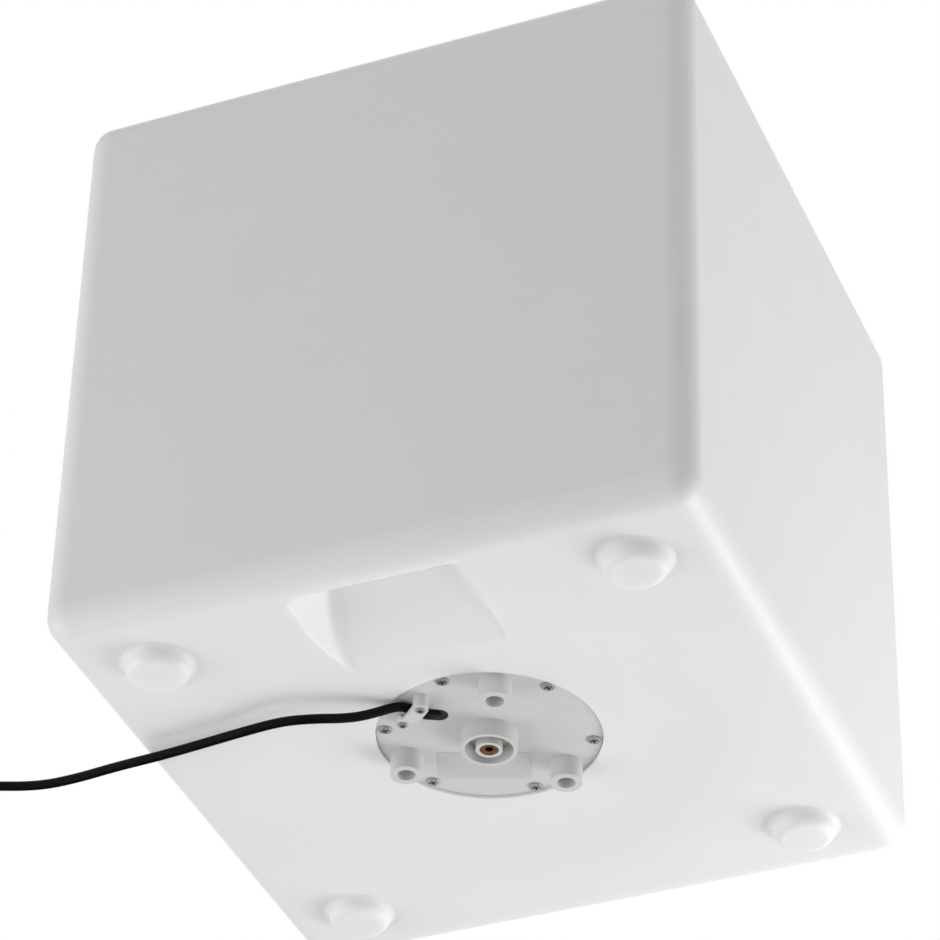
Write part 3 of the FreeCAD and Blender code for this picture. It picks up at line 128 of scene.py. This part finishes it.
class CubeLightSizes(PropertyGroup):
    """Sizes of the cord, its coil and the studio, and of the grains that show."""

    cord_diameter: length("Cord Diameter", "Thickness of the round mains cord", 5.8 * MM)
    coil_pitch: length("Coil Pitch", "Distance between neighbouring turns", 6.45 * MM)
    coil_inner: length("Coil Inner Radius", "Radius of the innermost turn", 28.6 * MM)
    coil_level: length("Coil Level", "Height of the lowest turns over the floor", 4.3 * MM)
    coil_start: FloatProperty(name="Coil Start", default=math.radians(110), subtype="ANGLE",
                              description="Angle at which the cord joins the coil")
    coil_points: IntProperty(name="Coil Points", default=16, min=12,
                             description="Route points in each turn of the coil")
    floor_size: length("Floor Size", "Side of the studio floor", 12.0)
    grain: length("Moulding Grain", "Spacing of the cube's fine moulded grain", 1.6 * MM)
    plate_grain: length("Plate Grain", "Spacing of the base plate's fine grain", 0.9 * MM)


class CubeLightColours(PropertyGroup):
    """Colours of the finishes."""

    shell: colour("Shell", "White translucent polyethylene", "#F0F0EF")
    plate: colour("Plate", "Pale grey moulded plate", "#D2D2D1")
    label: colour("Label", "Blank foil sticker", "#CFCFCE")
    cord: colour("Cord", "Black sheath", "#050505")
    brass: colour("Insert", "Red-brown brass of the threaded insert", "#A9714F")
    steel: colour("Steel", "Zinc plating", "#B4B6B8")
    lamp: colour("Lamp", "White lamp plastic", "#EFEFEC")
    dome: colour("Dome", "Opal dome", "#F5F4F0")
    floor: colour("Floor", "Studio floor", "#F1F1F1")


def sizes():
    """The scene's sizes."""
    return bpy.context.scene.cube_light_sizes


def colours():
    """The scene's colours."""
    return bpy.context.scene.cube_light_colours


# ---- materials ----------------------------------------------------------------------------
# Sockets of a colour Mix node, which has several of each name.
FACTOR, FIRST, SECOND, RESULT = 0, 6, 7, 2
# Nearly all of a noise lies in this span.
NOISE_SPAN = {"From Min": 0.3, "From Max": 0.7}
# Dirt and painted shade darken a metal's slots and corners: how near their walls stand, and
# how open to the air a place is where the darkening is full and where it is gone.
DIRT_AND_SHADE_REACH = 1.2 * MM
DIRT_AND_SHADE_SPAN = {"From Min": 0.35, "From Max": 0.8}


def add(tree, kind, links=None, **settings):
    """Adds a node, sets its attributes, and sets or links its inputs by name or number."""
    node = tree.nodes.new(kind)
    for name, value in settings.items():
        setattr(node, name, value)
    for key, value in (links or {}).items():
        if isinstance(value, NodeSocket):
            tree.links.new(value, node.inputs[key])
        else:
            node.inputs[key].default_value = value
    return node


def shade(base, part=1.0):
    """A colour made darker or lighter by a part, with the alpha that a socket takes."""
    return (*(min(1.0, value * part) for value in base[:3]), 1.0)


def socket(shader, key):
    """A shader's input, by its name in small letters with underscores."""
    return shader.inputs[key.replace("_", " ").title().replace("Ior", "IOR")]


def finish(name, base, **inputs):
    """New principled material, with its tree and shader."""
    material = bpy.data.materials.new(name)
    material.use_nodes = True
    tree = material.node_tree
    tree.nodes.clear()
    shader = add(tree, "ShaderNodeBsdfPrincipled", {"Base Color": shade(base)})
    for key, value in inputs.items():
        socket(shader, key).default_value = value
    add(tree, "ShaderNodeOutputMaterial", {"Surface": shader.outputs[0]})
    return material, tree, shader


def feed(tree, shader, **sources):
    """Links patterns to a shader's inputs."""
    for key, source in sources.items():
        tree.links.new(source, socket(shader, key))


def rotomoulded_polyethylene():
    """Thick milky polyethylene: light sinks in a little, so edges look soft, with a satin skin
    that copies the mould's blasted grain and lies in very low, slow waves.

    Blasting leaves a grain of about 0.2 mm, too fine to show, so it is drawn coarser.
    """
    base = colours().shell
    material, tree, shader = finish("rotomoulded_polyethylene", base, roughness=0.48, ior=1.51,
                                    subsurface_weight=0.6, subsurface_scale=7 * MM,
                                    subsurface_radius=(1.0, 1.0, 1.0))
    where = add(tree, "ShaderNodeTexCoord").outputs["Object"]
    slow = add(tree, "ShaderNodeTexNoise", {"Vector": where, "Scale": 1 / (60 * MM)}).outputs[0]
    cloud = add(tree, "ShaderNodeTexNoise", {"Vector": where, "Scale": 1 / (22 * MM)}).outputs[0]
    blast = add(tree, "ShaderNodeTexNoise",
                {"Vector": where, "Scale": 1 / sizes().grain, "Detail": 3.0}).outputs[0]
    tint = add(tree, "ShaderNodeMix",
               {FACTOR: slow, FIRST: shade(base, 0.975), SECOND: shade(base, 1.01)},
               data_type="RGBA").outputs[RESULT]
    polish = add(tree, "ShaderNodeMapRange",
                 {"Value": cloud, **NOISE_SPAN, "To Min": 0.44, "To Max": 0.52}).outputs[0]
    waves = add(tree, "ShaderNodeBump", {"Height": slow, "Distance": 0.25 * MM}).outputs[0]
    skin = add(tree, "ShaderNodeBump",
               {"Height": blast, "Distance": 0.02 * MM, "Normal": waves}).outputs[0]
    feed(tree, shader, base_color=tint, roughness=polish, normal=skin)
    return material


def moulded_plastic(name, base, grain, roughness=0.45):
    """Injection-moulded plastic: even colour with a fine spark-eroded grain.

    Spark erosion leaves a grain of about 0.1 mm, too fine to show, so it is drawn coarser.
    """
    material, tree, shader = finish(name, base, roughness=roughness, ior=1.53)
    where = add(tree, "ShaderNodeTexCoord").outputs["Object"]
    cloud = add(tree, "ShaderNodeTexNoise", {"Vector": where, "Scale": 1 / (14 * MM)}).outputs[0]
    speck = add(tree, "ShaderNodeTexNoise",
                {"Vector": where, "Scale": 1 / grain, "Detail": 3.0}).outputs[0]
    tint = add(tree, "ShaderNodeMix",
               {FACTOR: cloud, FIRST: shade(base, 0.965), SECOND: shade(base, 1.02)},
               data_type="RGBA").outputs[RESULT]
    polish = add(tree, "ShaderNodeMapRange",
                 {"Value": speck, **NOISE_SPAN, "To Min": roughness - 0.04,
                  "To Max": roughness + 0.06}).outputs[0]
    bump = add(tree, "ShaderNodeBump", {"Height": speck, "Distance": 0.02 * MM}).outputs[0]
    feed(tree, shader, base_color=tint, roughness=polish, normal=bump)
    return material


def plated_metal(name, base, roughness, grain=0.5 * MM):
    """Plated or drawn metal: bright, with fine rub marks along it that vary its polish, and
    darkened in its slots and corners by dirt and painted shade."""
    material, tree, shader = finish(name, base, metallic=1.0, roughness=roughness)
    where = add(tree, "ShaderNodeTexCoord").outputs["Object"]
    drawn = add(tree, "ShaderNodeMapping",
                {"Vector": where, "Scale": (1.0, 1.0, 0.25)}).outputs[0]
    rub = add(tree, "ShaderNodeTexNoise", {"Vector": drawn, "Scale": 1 / grain}).outputs[0]
    open_air = add(tree, "ShaderNodeAmbientOcclusion", {"Distance": DIRT_AND_SHADE_REACH}).outputs["AO"]
    clean_and_unshaded = add(tree, "ShaderNodeMapRange", {"Value": open_air, **DIRT_AND_SHADE_SPAN}).outputs[0]
    # Painted shade with dirt: the colour falls to near black in slots and corners.
    tint = add(tree, "ShaderNodeMix",
               {FACTOR: clean_and_unshaded, FIRST: shade(base, 0.08), SECOND: shade(base)},
               data_type="RGBA").outputs[RESULT]
    polish = add(tree, "ShaderNodeMapRange",
                 {"Value": rub, **NOISE_SPAN, "To Min": roughness - 0.08,
                  "To Max": roughness + 0.12}).outputs[0]
    bump = add(tree, "ShaderNodeBump", {"Height": rub, "Distance": 0.01 * MM}).outputs[0]
    feed(tree, shader, base_color=tint, roughness=polish, normal=bump)
    return material


def flexible_pvc(name, base, roughness, sheen=0.5):
    """Extruded or moulded soft PVC: dense colour with a slight sheen and faint draw marks."""
    material, tree, shader = finish(name, base, roughness=roughness, ior=1.54,
                                    specular_ior_level=sheen)
    where = add(tree, "ShaderNodeTexCoord").outputs["Object"]
    mark = add(tree, "ShaderNodeTexNoise",
               {"Vector": where, "Scale": 1 / (4 * MM), "Detail": 4.0}).outputs[0]
    grain = add(tree, "ShaderNodeTexNoise",
                {"Vector": where, "Scale": 1 / (0.7 * MM)}).outputs[0]
    tint = add(tree, "ShaderNodeMix",
               {FACTOR: mark, FIRST: shade(base, 0.7), SECOND: shade(base, 1.5)},
               data_type="RGBA").outputs[RESULT]
    polish = add(tree, "ShaderNodeMapRange",
                 {"Value": mark, **NOISE_SPAN, "To Min": roughness - 0.06,
                  "To Max": roughness + 0.1}).outputs[0]
    bump = add(tree, "ShaderNodeBump", {"Height": grain, "Distance": 0.015 * MM}).outputs[0]
    feed(tree, shader, base_color=tint, roughness=polish, normal=bump)
    return material


def woven_strap(name, base):
    """Nylon hook-and-loop strap: a fuzzy pile with a fine weave."""
    material, tree, shader = finish(name, base, roughness=0.85, ior=1.5, sheen_weight=0.4)
    where = add(tree, "ShaderNodeTexCoord").outputs["Object"]
    weave = add(tree, "ShaderNodeTexVoronoi",
                {"Vector": where, "Scale": 1 / (0.8 * MM)}).outputs["Distance"]
    tint = add(tree, "ShaderNodeMix",
               {FACTOR: weave, FIRST: shade(base, 1.6), SECOND: shade(base)},
               data_type="RGBA").outputs[RESULT]
    bump = add(tree, "ShaderNodeBump", {"Height": weave, "Distance": 0.15 * MM}).outputs[0]
    feed(tree, shader, base_color=tint, normal=bump)
    return material


def opal_polycarbonate(base):
    """Moulded opal polycarbonate: milky, lit through, with a smooth gloss."""
    material, tree, shader = finish("opal_polycarbonate", base, roughness=0.28, ior=1.585,
                                    subsurface_weight=0.5, subsurface_scale=4 * MM)
    where = add(tree, "ShaderNodeTexCoord").outputs["Object"]
    haze = add(tree, "ShaderNodeTexNoise", {"Vector": where, "Scale": 1 / (9 * MM)}).outputs[0]
    tint = add(tree, "ShaderNodeMix",
               {FACTOR: haze, FIRST: shade(base, 0.97), SECOND: shade(base)},
               data_type="RGBA").outputs[RESULT]
    polish = add(tree, "ShaderNodeMapRange",
                 {"Value": haze, **NOISE_SPAN, "To Min": 0.24, "To Max": 0.34}).outputs[0]
    feed(tree, shader, base_color=tint, roughness=polish)
    return material


def satin_polyester_foil(base):
    """Blank sticker of metallised polyester foil: silver-grey and satin, a little uneven."""
    material, tree, shader = finish("satin_polyester_foil", base, roughness=0.38, ior=1.6,
                                    metallic=0.25)
    where = add(tree, "ShaderNodeTexCoord").outputs["Object"]
    grain = add(tree, "ShaderNodeTexNoise",
                {"Vector": where, "Scale": 1 / (1.2 * MM)}).outputs[0]
    tint = add(tree, "ShaderNodeMix",
               {FACTOR: grain, FIRST: shade(base, 0.93), SECOND: shade(base, 1.04)},
               data_type="RGBA").outputs[RESULT]
    polish = add(tree, "ShaderNodeMapRange",
                 {"Value": grain, **NOISE_SPAN, "To Min": 0.32, "To Max": 0.46}).outputs[0]
    feed(tree, shader, base_color=tint, roughness=polish)
    return material


def green_fibreglass_board():
    """Green fibreglass board: copper tracks show through its varnish as paler green."""
    material, tree, shader = finish("green_fibreglass_board", linear("#1E5A2C"), roughness=0.3,
                                    ior=1.5)
    where = add(tree, "ShaderNodeTexCoord").outputs["Object"]
    tracks = add(tree, "ShaderNodeTexVoronoi", {"Vector": where, "Scale": 1 / (3 * MM)},
                 distance="MANHATTAN").outputs["Distance"]
    tint = add(tree, "ShaderNodeMix",
               {FACTOR: tracks, FIRST: shade(linear("#3F7F46")), SECOND: shade(linear("#174A24"))},
               data_type="RGBA").outputs[RESULT]
    feed(tree, shader, base_color=tint)
    return material


def phosphor_gel():
    """Yellow phosphor gel of an LED: glossy, with its powder a little uneven."""
    material, tree, shader = finish("phosphor_gel", linear("#E8C64E"), roughness=0.3, ior=1.41)
    where = add(tree, "ShaderNodeTexCoord").outputs["Object"]
    grain = add(tree, "ShaderNodeTexNoise",
                {"Vector": where, "Scale": 1 / (0.4 * MM)}).outputs[0]
    tint = add(tree, "ShaderNodeMix",
               {FACTOR: grain, FIRST: shade(linear("#D9AE36")), SECOND: shade(linear("#F2DC7C"))},
               data_type="RGBA").outputs[RESULT]
    feed(tree, shader, base_color=tint)
    return material


def dress(material, *nodes):
    """Gives CAD nodes one material."""
    for name in nodes:
        slots = NODES[name].data.materials
        slots.clear()
        slots.append(material)


# ---- surfaces and lines -------------------------------------------------------------------
def coil_line():
    """Centre line of the wound cord, as an array of points.

    The angle grows evenly. The distance from the middle falls by one pitch a turn in each odd
    layer and grows by as much in each even one. The height is that of the layer, and rises by
    one pitch, along a half sine, in the half turn where the spiral reverses.
    """
    size = sizes()
    total = (COIL_LAYERS - 1) * LAYER_QUARTERS + LAST_QUARTERS
    quarter = np.linspace(0, total, total * size.coil_points // 4 + 1)
    layer = np.minimum(quarter // LAYER_QUARTERS, COIL_LAYERS - 1)
    along = quarter - layer * LAYER_QUARTERS
    outward = np.where(layer % 2 == 0, LAYER_QUARTERS - along, along)
    # A control point stands a little outside the curve that it shapes.
    outside = 1 / math.cos(math.pi / size.coil_points) ** 1.5
    radius = (size.coil_inner + outward * size.coil_pitch / 4) * outside
    rising = np.where((along < 1) & (layer > 0), 0.5 * np.sin(along * math.pi / 2) - 0.5, 0.0)
    leaving = np.where((along > LAYER_QUARTERS - 1) & (layer < COIL_LAYERS - 1),
                       0.5 - 0.5 * np.sin((LAYER_QUARTERS - along) * math.pi / 2), 0.0)
    angle = size.coil_start + quarter * math.pi / 2
    return np.stack([COIL_CENTRE[0] + radius * np.cos(angle),
                     COIL_CENTRE[1] + radius * np.sin(angle),
                     size.coil_level + (layer + rising + leaving) * size.coil_pitch], 1)


def cord_curve(name, points, diameter):
    """Round cord along one smooth spline that the points shape."""
    data = bpy.data.curves.new(name, "CURVE")
    data.dimensions = "3D"
    spline = data.splines.new("NURBS")
    spline.points.add(len(points) - 1)
    weighted = np.concatenate([points, np.ones((len(points), 1))], 1)
    spline.points.foreach_set("co", weighted.ravel())
    spline.order_u = CORD_ORDER
    spline.use_endpoint_u = True
    spline.resolution_u = CORD_STEPS
    data.bevel_depth = diameter / 2
    data.bevel_resolution = CORD_ROUND_STEPS
    data.use_fill_caps = True
    piece = bpy.data.objects.new(name, data)
    bpy.context.scene.collection.objects.link(piece)
    return piece


# ---- operators ----------------------------------------------------------------------------
class CUBE_LIGHT_OT_camera(Operator):
    """Sets the camera where the photograph was taken from, below the cube."""

    bl_idname = "cube_light.camera"
    bl_label = "Camera"

    def execute(self, context):
        data = bpy.data.cameras.new("photo_camera")
        data.sensor_width = CAMERA_SENSOR
        data.lens = CAMERA_LENS
        camera = bpy.data.objects.new("photo_camera", data)
        context.scene.collection.objects.link(camera)
        turn = Matrix((CAMERA_RIGHT, CAMERA_UP, tuple(-v for v in CAMERA_FORWARD))).transposed()
        camera.matrix_world = Matrix.Translation(CAMERA_PLACE) @ turn.to_4x4()
        data.clip_end = CAMERA_REACH
        context.scene.camera = camera
        return {"FINISHED"}


class CUBE_LIGHT_OT_cord(Operator):
    """Makes the free cord: along the floor, wound into its coil, and on to the plug."""

    bl_idname = "cube_light.cord"
    bl_label = "Cord"

    def execute(self, context):
        diameter = sizes().cord_diameter
        points = np.concatenate([CORD_TO_COIL, coil_line(), CORD_TO_PLUG])
        piece = cord_curve("mains_cord", points, diameter)
        sheath = flexible_pvc("extruded_black_pvc", colours().cord, 0.55, 0.12)
        piece.data.materials.append(sheath)
        dress(sheath, "inner_cord")
        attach(piece, "base")
        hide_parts("power_cord", "cord_coil", "plug_cord")
        return {"FINISHED"}


class CUBE_LIGHT_OT_shell(Operator):
    """Finishes the hollow cube."""

    bl_idname = "cube_light.shell"
    bl_label = "Cube Shell"

    def execute(self, context):
        dress(rotomoulded_polyethylene(), "cube_shell")
        return {"FINISHED"}


class CUBE_LIGHT_OT_base(Operator):
    """Finishes the base plate with its clamp, bush, gasket and label."""

    bl_idname = "cube_light.base"
    bl_label = "Base Plate"

    def execute(self, context):
        plate = colours().plate
        dress(moulded_plastic("moulded_grey_abs", plate, sizes().plate_grain),
              "base_plate", "fixing_cup")
        dress(moulded_plastic("moulded_nylon_clamp", shade(plate, 1.02), 0.8 * MM, 0.4),
              "cord_clamp")
        dress(flexible_pvc("moulded_black_rubber", linear("#1A1A1A"), 0.6),
              "cord_grommet", "base_gasket")
        dress(satin_polyester_foil(colours().label), "rating_label")
        return {"FINISHED"}


class CUBE_LIGHT_OT_fixings(Operator):
    """Finishes the screws and the threaded insert."""

    bl_idname = "cube_light.fixings"
    bl_label = "Screws and Insert"

    def execute(self, context):
        zinc = plated_metal("zinc_plated_steel", colours().steel, 0.3)
        dress(zinc, "plate_screws", "clamp_screws", "bracket_screws", "terminal_screws")
        dress(plated_metal("turned_brass", colours().brass, 0.28), "fixing_insert")
        return {"FINISHED"}


class CUBE_LIGHT_OT_lampholder(Operator):
    """Finishes the bracket, the lampholder and its contacts."""

    bl_idname = "cube_light.lampholder"
    bl_label = "Lampholder"

    def execute(self, context):
        dress(plated_metal("zinc_plated_strip", colours().steel, 0.36, 1.5 * MM),
              "holder_bracket", "holder_nipple", "nipple_nut")
        dress(moulded_plastic("white_thermoset", linear("#E9E8E3"), 0.9 * MM, 0.3),
              "lampholder_body")
        dress(plated_metal("nickel_plated_brass", linear("#C9C2A8"), 0.22), "lampholder_liner")
        dress(plated_metal("sprung_brass_strip", linear("#CDAA62"), 0.25),
              "centre_contact", "side_contact")
        return {"FINISHED"}


class CUBE_LIGHT_OT_lamp(Operator):
    """Finishes the lamp from its tip to its dome."""

    bl_idname = "cube_light.lamp"
    bl_label = "Lamp"

    def execute(self, context):
        dress(plated_metal("nickel_plated_aluminium", linear("#C6C6C4"), 0.2),
              "lamp_cap", "lamp_tip")
        # Vitrite glass is black and glossy, with no pattern that shows.
        glass, _, _ = finish("black_vitrite_glass", linear("#0D0D10"), roughness=0.12, ior=1.52)
        dress(glass, "lamp_insulator")
        dress(moulded_plastic("white_lamp_plastic", colours().lamp, 0.9 * MM, 0.38), "lamp_body")
        dress(opal_polycarbonate(colours().dome), "lamp_dome")
        dress(moulded_plastic("white_solder_resist", linear("#F0F0EC"), 0.6 * MM, 0.3),
              "led_board")
        dress(phosphor_gel(), "led_chips")
        dress(green_fibreglass_board(), "driver_board")
        return {"FINISHED"}


class CUBE_LIGHT_OT_wiring(Operator):
    """Finishes the terminal block and the inner wires."""

    bl_idname = "cube_light.wiring"
    bl_label = "Wiring"

    def execute(self, context):
        dress(moulded_plastic("natural_nylon", linear("#E4E3DC"), 0.7 * MM, 0.42),
              "terminal_block")
        dress(flexible_pvc("brown_pvc", linear("#5A2E17"), 0.4), "live_core", "live_lead")
        dress(flexible_pvc("blue_pvc", linear("#1F4FA8"), 0.4), "neutral_core", "neutral_lead")
        return {"FINISHED"}


class CUBE_LIGHT_OT_plug(Operator):
    """Finishes the plug, its pins and the coil's tie."""

    bl_idname = "cube_light.plug"
    bl_label = "Plug and Tie"

    def execute(self, context):
        dress(flexible_pvc("moulded_black_pvc", linear("#101010"), 0.45), "plug_body")
        dress(plated_metal("nickel_plated_pin", linear("#CFCBB8"), 0.18), "plug_pins")
        dress(woven_strap("nylon_hook_and_loop", linear("#151515")), "coil_tie")
        return {"FINISHED"}


def area_light(name, place, target, side, power):
    """Square soft lamp that faces a point, with its side in metres and its power in watts."""
    data = bpy.data.lights.new(name, "AREA")
    data.shape = "SQUARE"
    data.size = side
    data.energy = power
    lamp = bpy.data.objects.new(name, data)
    lamp.location = place
    lamp.rotation_mode = "QUATERNION"
    lamp.rotation_quaternion = (Vector(target) - Vector(place)).to_track_quat("-Z", "Y")
    bpy.context.scene.collection.objects.link(lamp)


def studio_floor():
    """Square floor just under the feet."""
    half = sizes().floor_size / 2
    corners = [(x, y, FLOOR_LEVEL)
               for x, y in ((-half, -half), (half, -half), (half, half), (-half, half))]
    mesh = bpy.data.meshes.new("studio_floor")
    mesh.from_pydata(corners, [], [(0, 1, 2, 3)])
    mesh.materials.append(floor_material())
    floor = bpy.data.objects.new("studio_floor", mesh)
    bpy.context.scene.collection.objects.link(floor)
    return floor


def floor_material():
    """Pale floor that shows from above and lets the view and the light from below through."""
    material = bpy.data.materials.new("studio_floor")
    material.use_nodes = True
    tree = material.node_tree
    tree.nodes.clear()
    path = add(tree, "ShaderNodeLightPath")
    side = add(tree, "ShaderNodeNewGeometry").outputs["Backfacing"]
    front = add(tree, "ShaderNodeMath", {0: 1.0, 1: side}, operation="SUBTRACT").outputs[0]
    seen = add(tree, "ShaderNodeMath",
               {0: path.outputs["Is Camera Ray"], 1: path.outputs["Is Glossy Ray"]},
               operation="MAXIMUM").outputs[0]
    shown = add(tree, "ShaderNodeMath", {0: front, 1: seen}, operation="MULTIPLY").outputs[0]
    matt = add(tree, "ShaderNodeBsdfDiffuse", {"Color": shade(colours().floor)}).outputs[0]
    clear = add(tree, "ShaderNodeBsdfTransparent").outputs[0]
    mix = add(tree, "ShaderNodeMixShader", {0: shown, 1: clear, 2: matt}).outputs[0]
    add(tree, "ShaderNodeOutputMaterial", {"Surface": mix})
    return material


def white_surround():
    """White world: dimmer as a light than where it is seen, mirrored or seen through."""
    world = bpy.data.worlds.new("studio_surround")
    world.use_nodes = True
    tree = world.node_tree
    tree.nodes.clear()
    path = add(tree, "ShaderNodeLightPath")
    seen = add(tree, "ShaderNodeMath",
               {0: path.outputs["Is Camera Ray"], 1: path.outputs["Is Glossy Ray"]},
               operation="MAXIMUM").outputs[0]
    seen = add(tree, "ShaderNodeMath", {0: seen, 1: path.outputs["Is Transmission Ray"]},
               operation="MAXIMUM").outputs[0]
    strength = add(tree, "ShaderNodeMapRange",
                   {"Value": seen, "To Min": SURROUND_LIGHT, "To Max": SURROUND_SEEN}).outputs[0]
    surround = add(tree, "ShaderNodeBackground",
                   {"Color": (1, 1, 1, 1), "Strength": strength}).outputs[0]
    add(tree, "ShaderNodeOutputWorld", {"Surface": surround})
    return world


class CUBE_LIGHT_OT_stage(Operator):
    """Makes the floor, the soft lamps and the white surround."""

    bl_idname = "cube_light.stage"
    bl_label = "Studio"

    def execute(self, context):
        floor = studio_floor()
        # A near-even surround gives most of the light. A lamp from below right and a broader,
        # weaker one from below left add to it, and one from above and behind lights the top.
        # Least falls on the side turned to the camera.
        area_light("right_box", (0.95, 0.85, -0.6), (0.2, 0.15, 0.1), 0.8, 11.3)
        area_light("left_box", (-1.25, -0.7, -0.7), (-0.1, -0.2, 0.1), 1.3, 10.3)
        area_light("top_box", (0.2, 0.7, 2.4), (0.0, 0.0, 0.4), 0.8, 20.0)
        context.scene.world = white_surround()
        context.scene.view_settings.view_transform = "Standard"
        return {"FINISHED"}


class CUBE_LIGHT_PT_panel(Panel):
    """Sidebar panel with every step and setting."""

    bl_idname = "CUBE_LIGHT_PT_panel"
    bl_label = "Garden Cube Light"
    bl_space_type = "VIEW_3D"
    bl_region_type = "UI"
    bl_category = "Cube Light"

    def draw(self, context):
        layout = self.layout
        for step in STEPS:
            layout.operator(step.bl_idname)
        for group in (context.scene.cube_light_sizes, context.scene.cube_light_colours):
            for name in type(group).__annotations__:
                layout.prop(group, name)


STEPS = (
    CUBE_LIGHT_OT_camera,
    CUBE_LIGHT_OT_cord,
    CUBE_LIGHT_OT_shell,
    CUBE_LIGHT_OT_base,
    CUBE_LIGHT_OT_fixings,
    CUBE_LIGHT_OT_lampholder,
    CUBE_LIGHT_OT_lamp,
    CUBE_LIGHT_OT_wiring,
    CUBE_LIGHT_OT_plug,
    CUBE_LIGHT_OT_stage,
)
CLASSES = (CubeLightSizes, CubeLightColours, *STEPS, CUBE_LIGHT_PT_panel)


def register():
    """Adds the classes and the settings."""
    for cls in CLASSES:
        bpy.utils.register_class(cls)
    bpy.types.Scene.cube_light_sizes = PointerProperty(type=CubeLightSizes)
    bpy.types.Scene.cube_light_colours = PointerProperty(type=CubeLightColours)


def unregister():
    """Removes the settings and the classes."""
    del bpy.types.Scene.cube_light_sizes
    del bpy.types.Scene.cube_light_colours
    for cls in reversed(CLASSES):
        bpy.utils.unregister_class(cls)


def main():
    """Registers the add-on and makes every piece."""
    register()
    for step in STEPS:
        operator = step.bl_idname.split(".")[1]
        getattr(bpy.ops.cube_light, operator)()


if __name__ == "__main__":
    main()
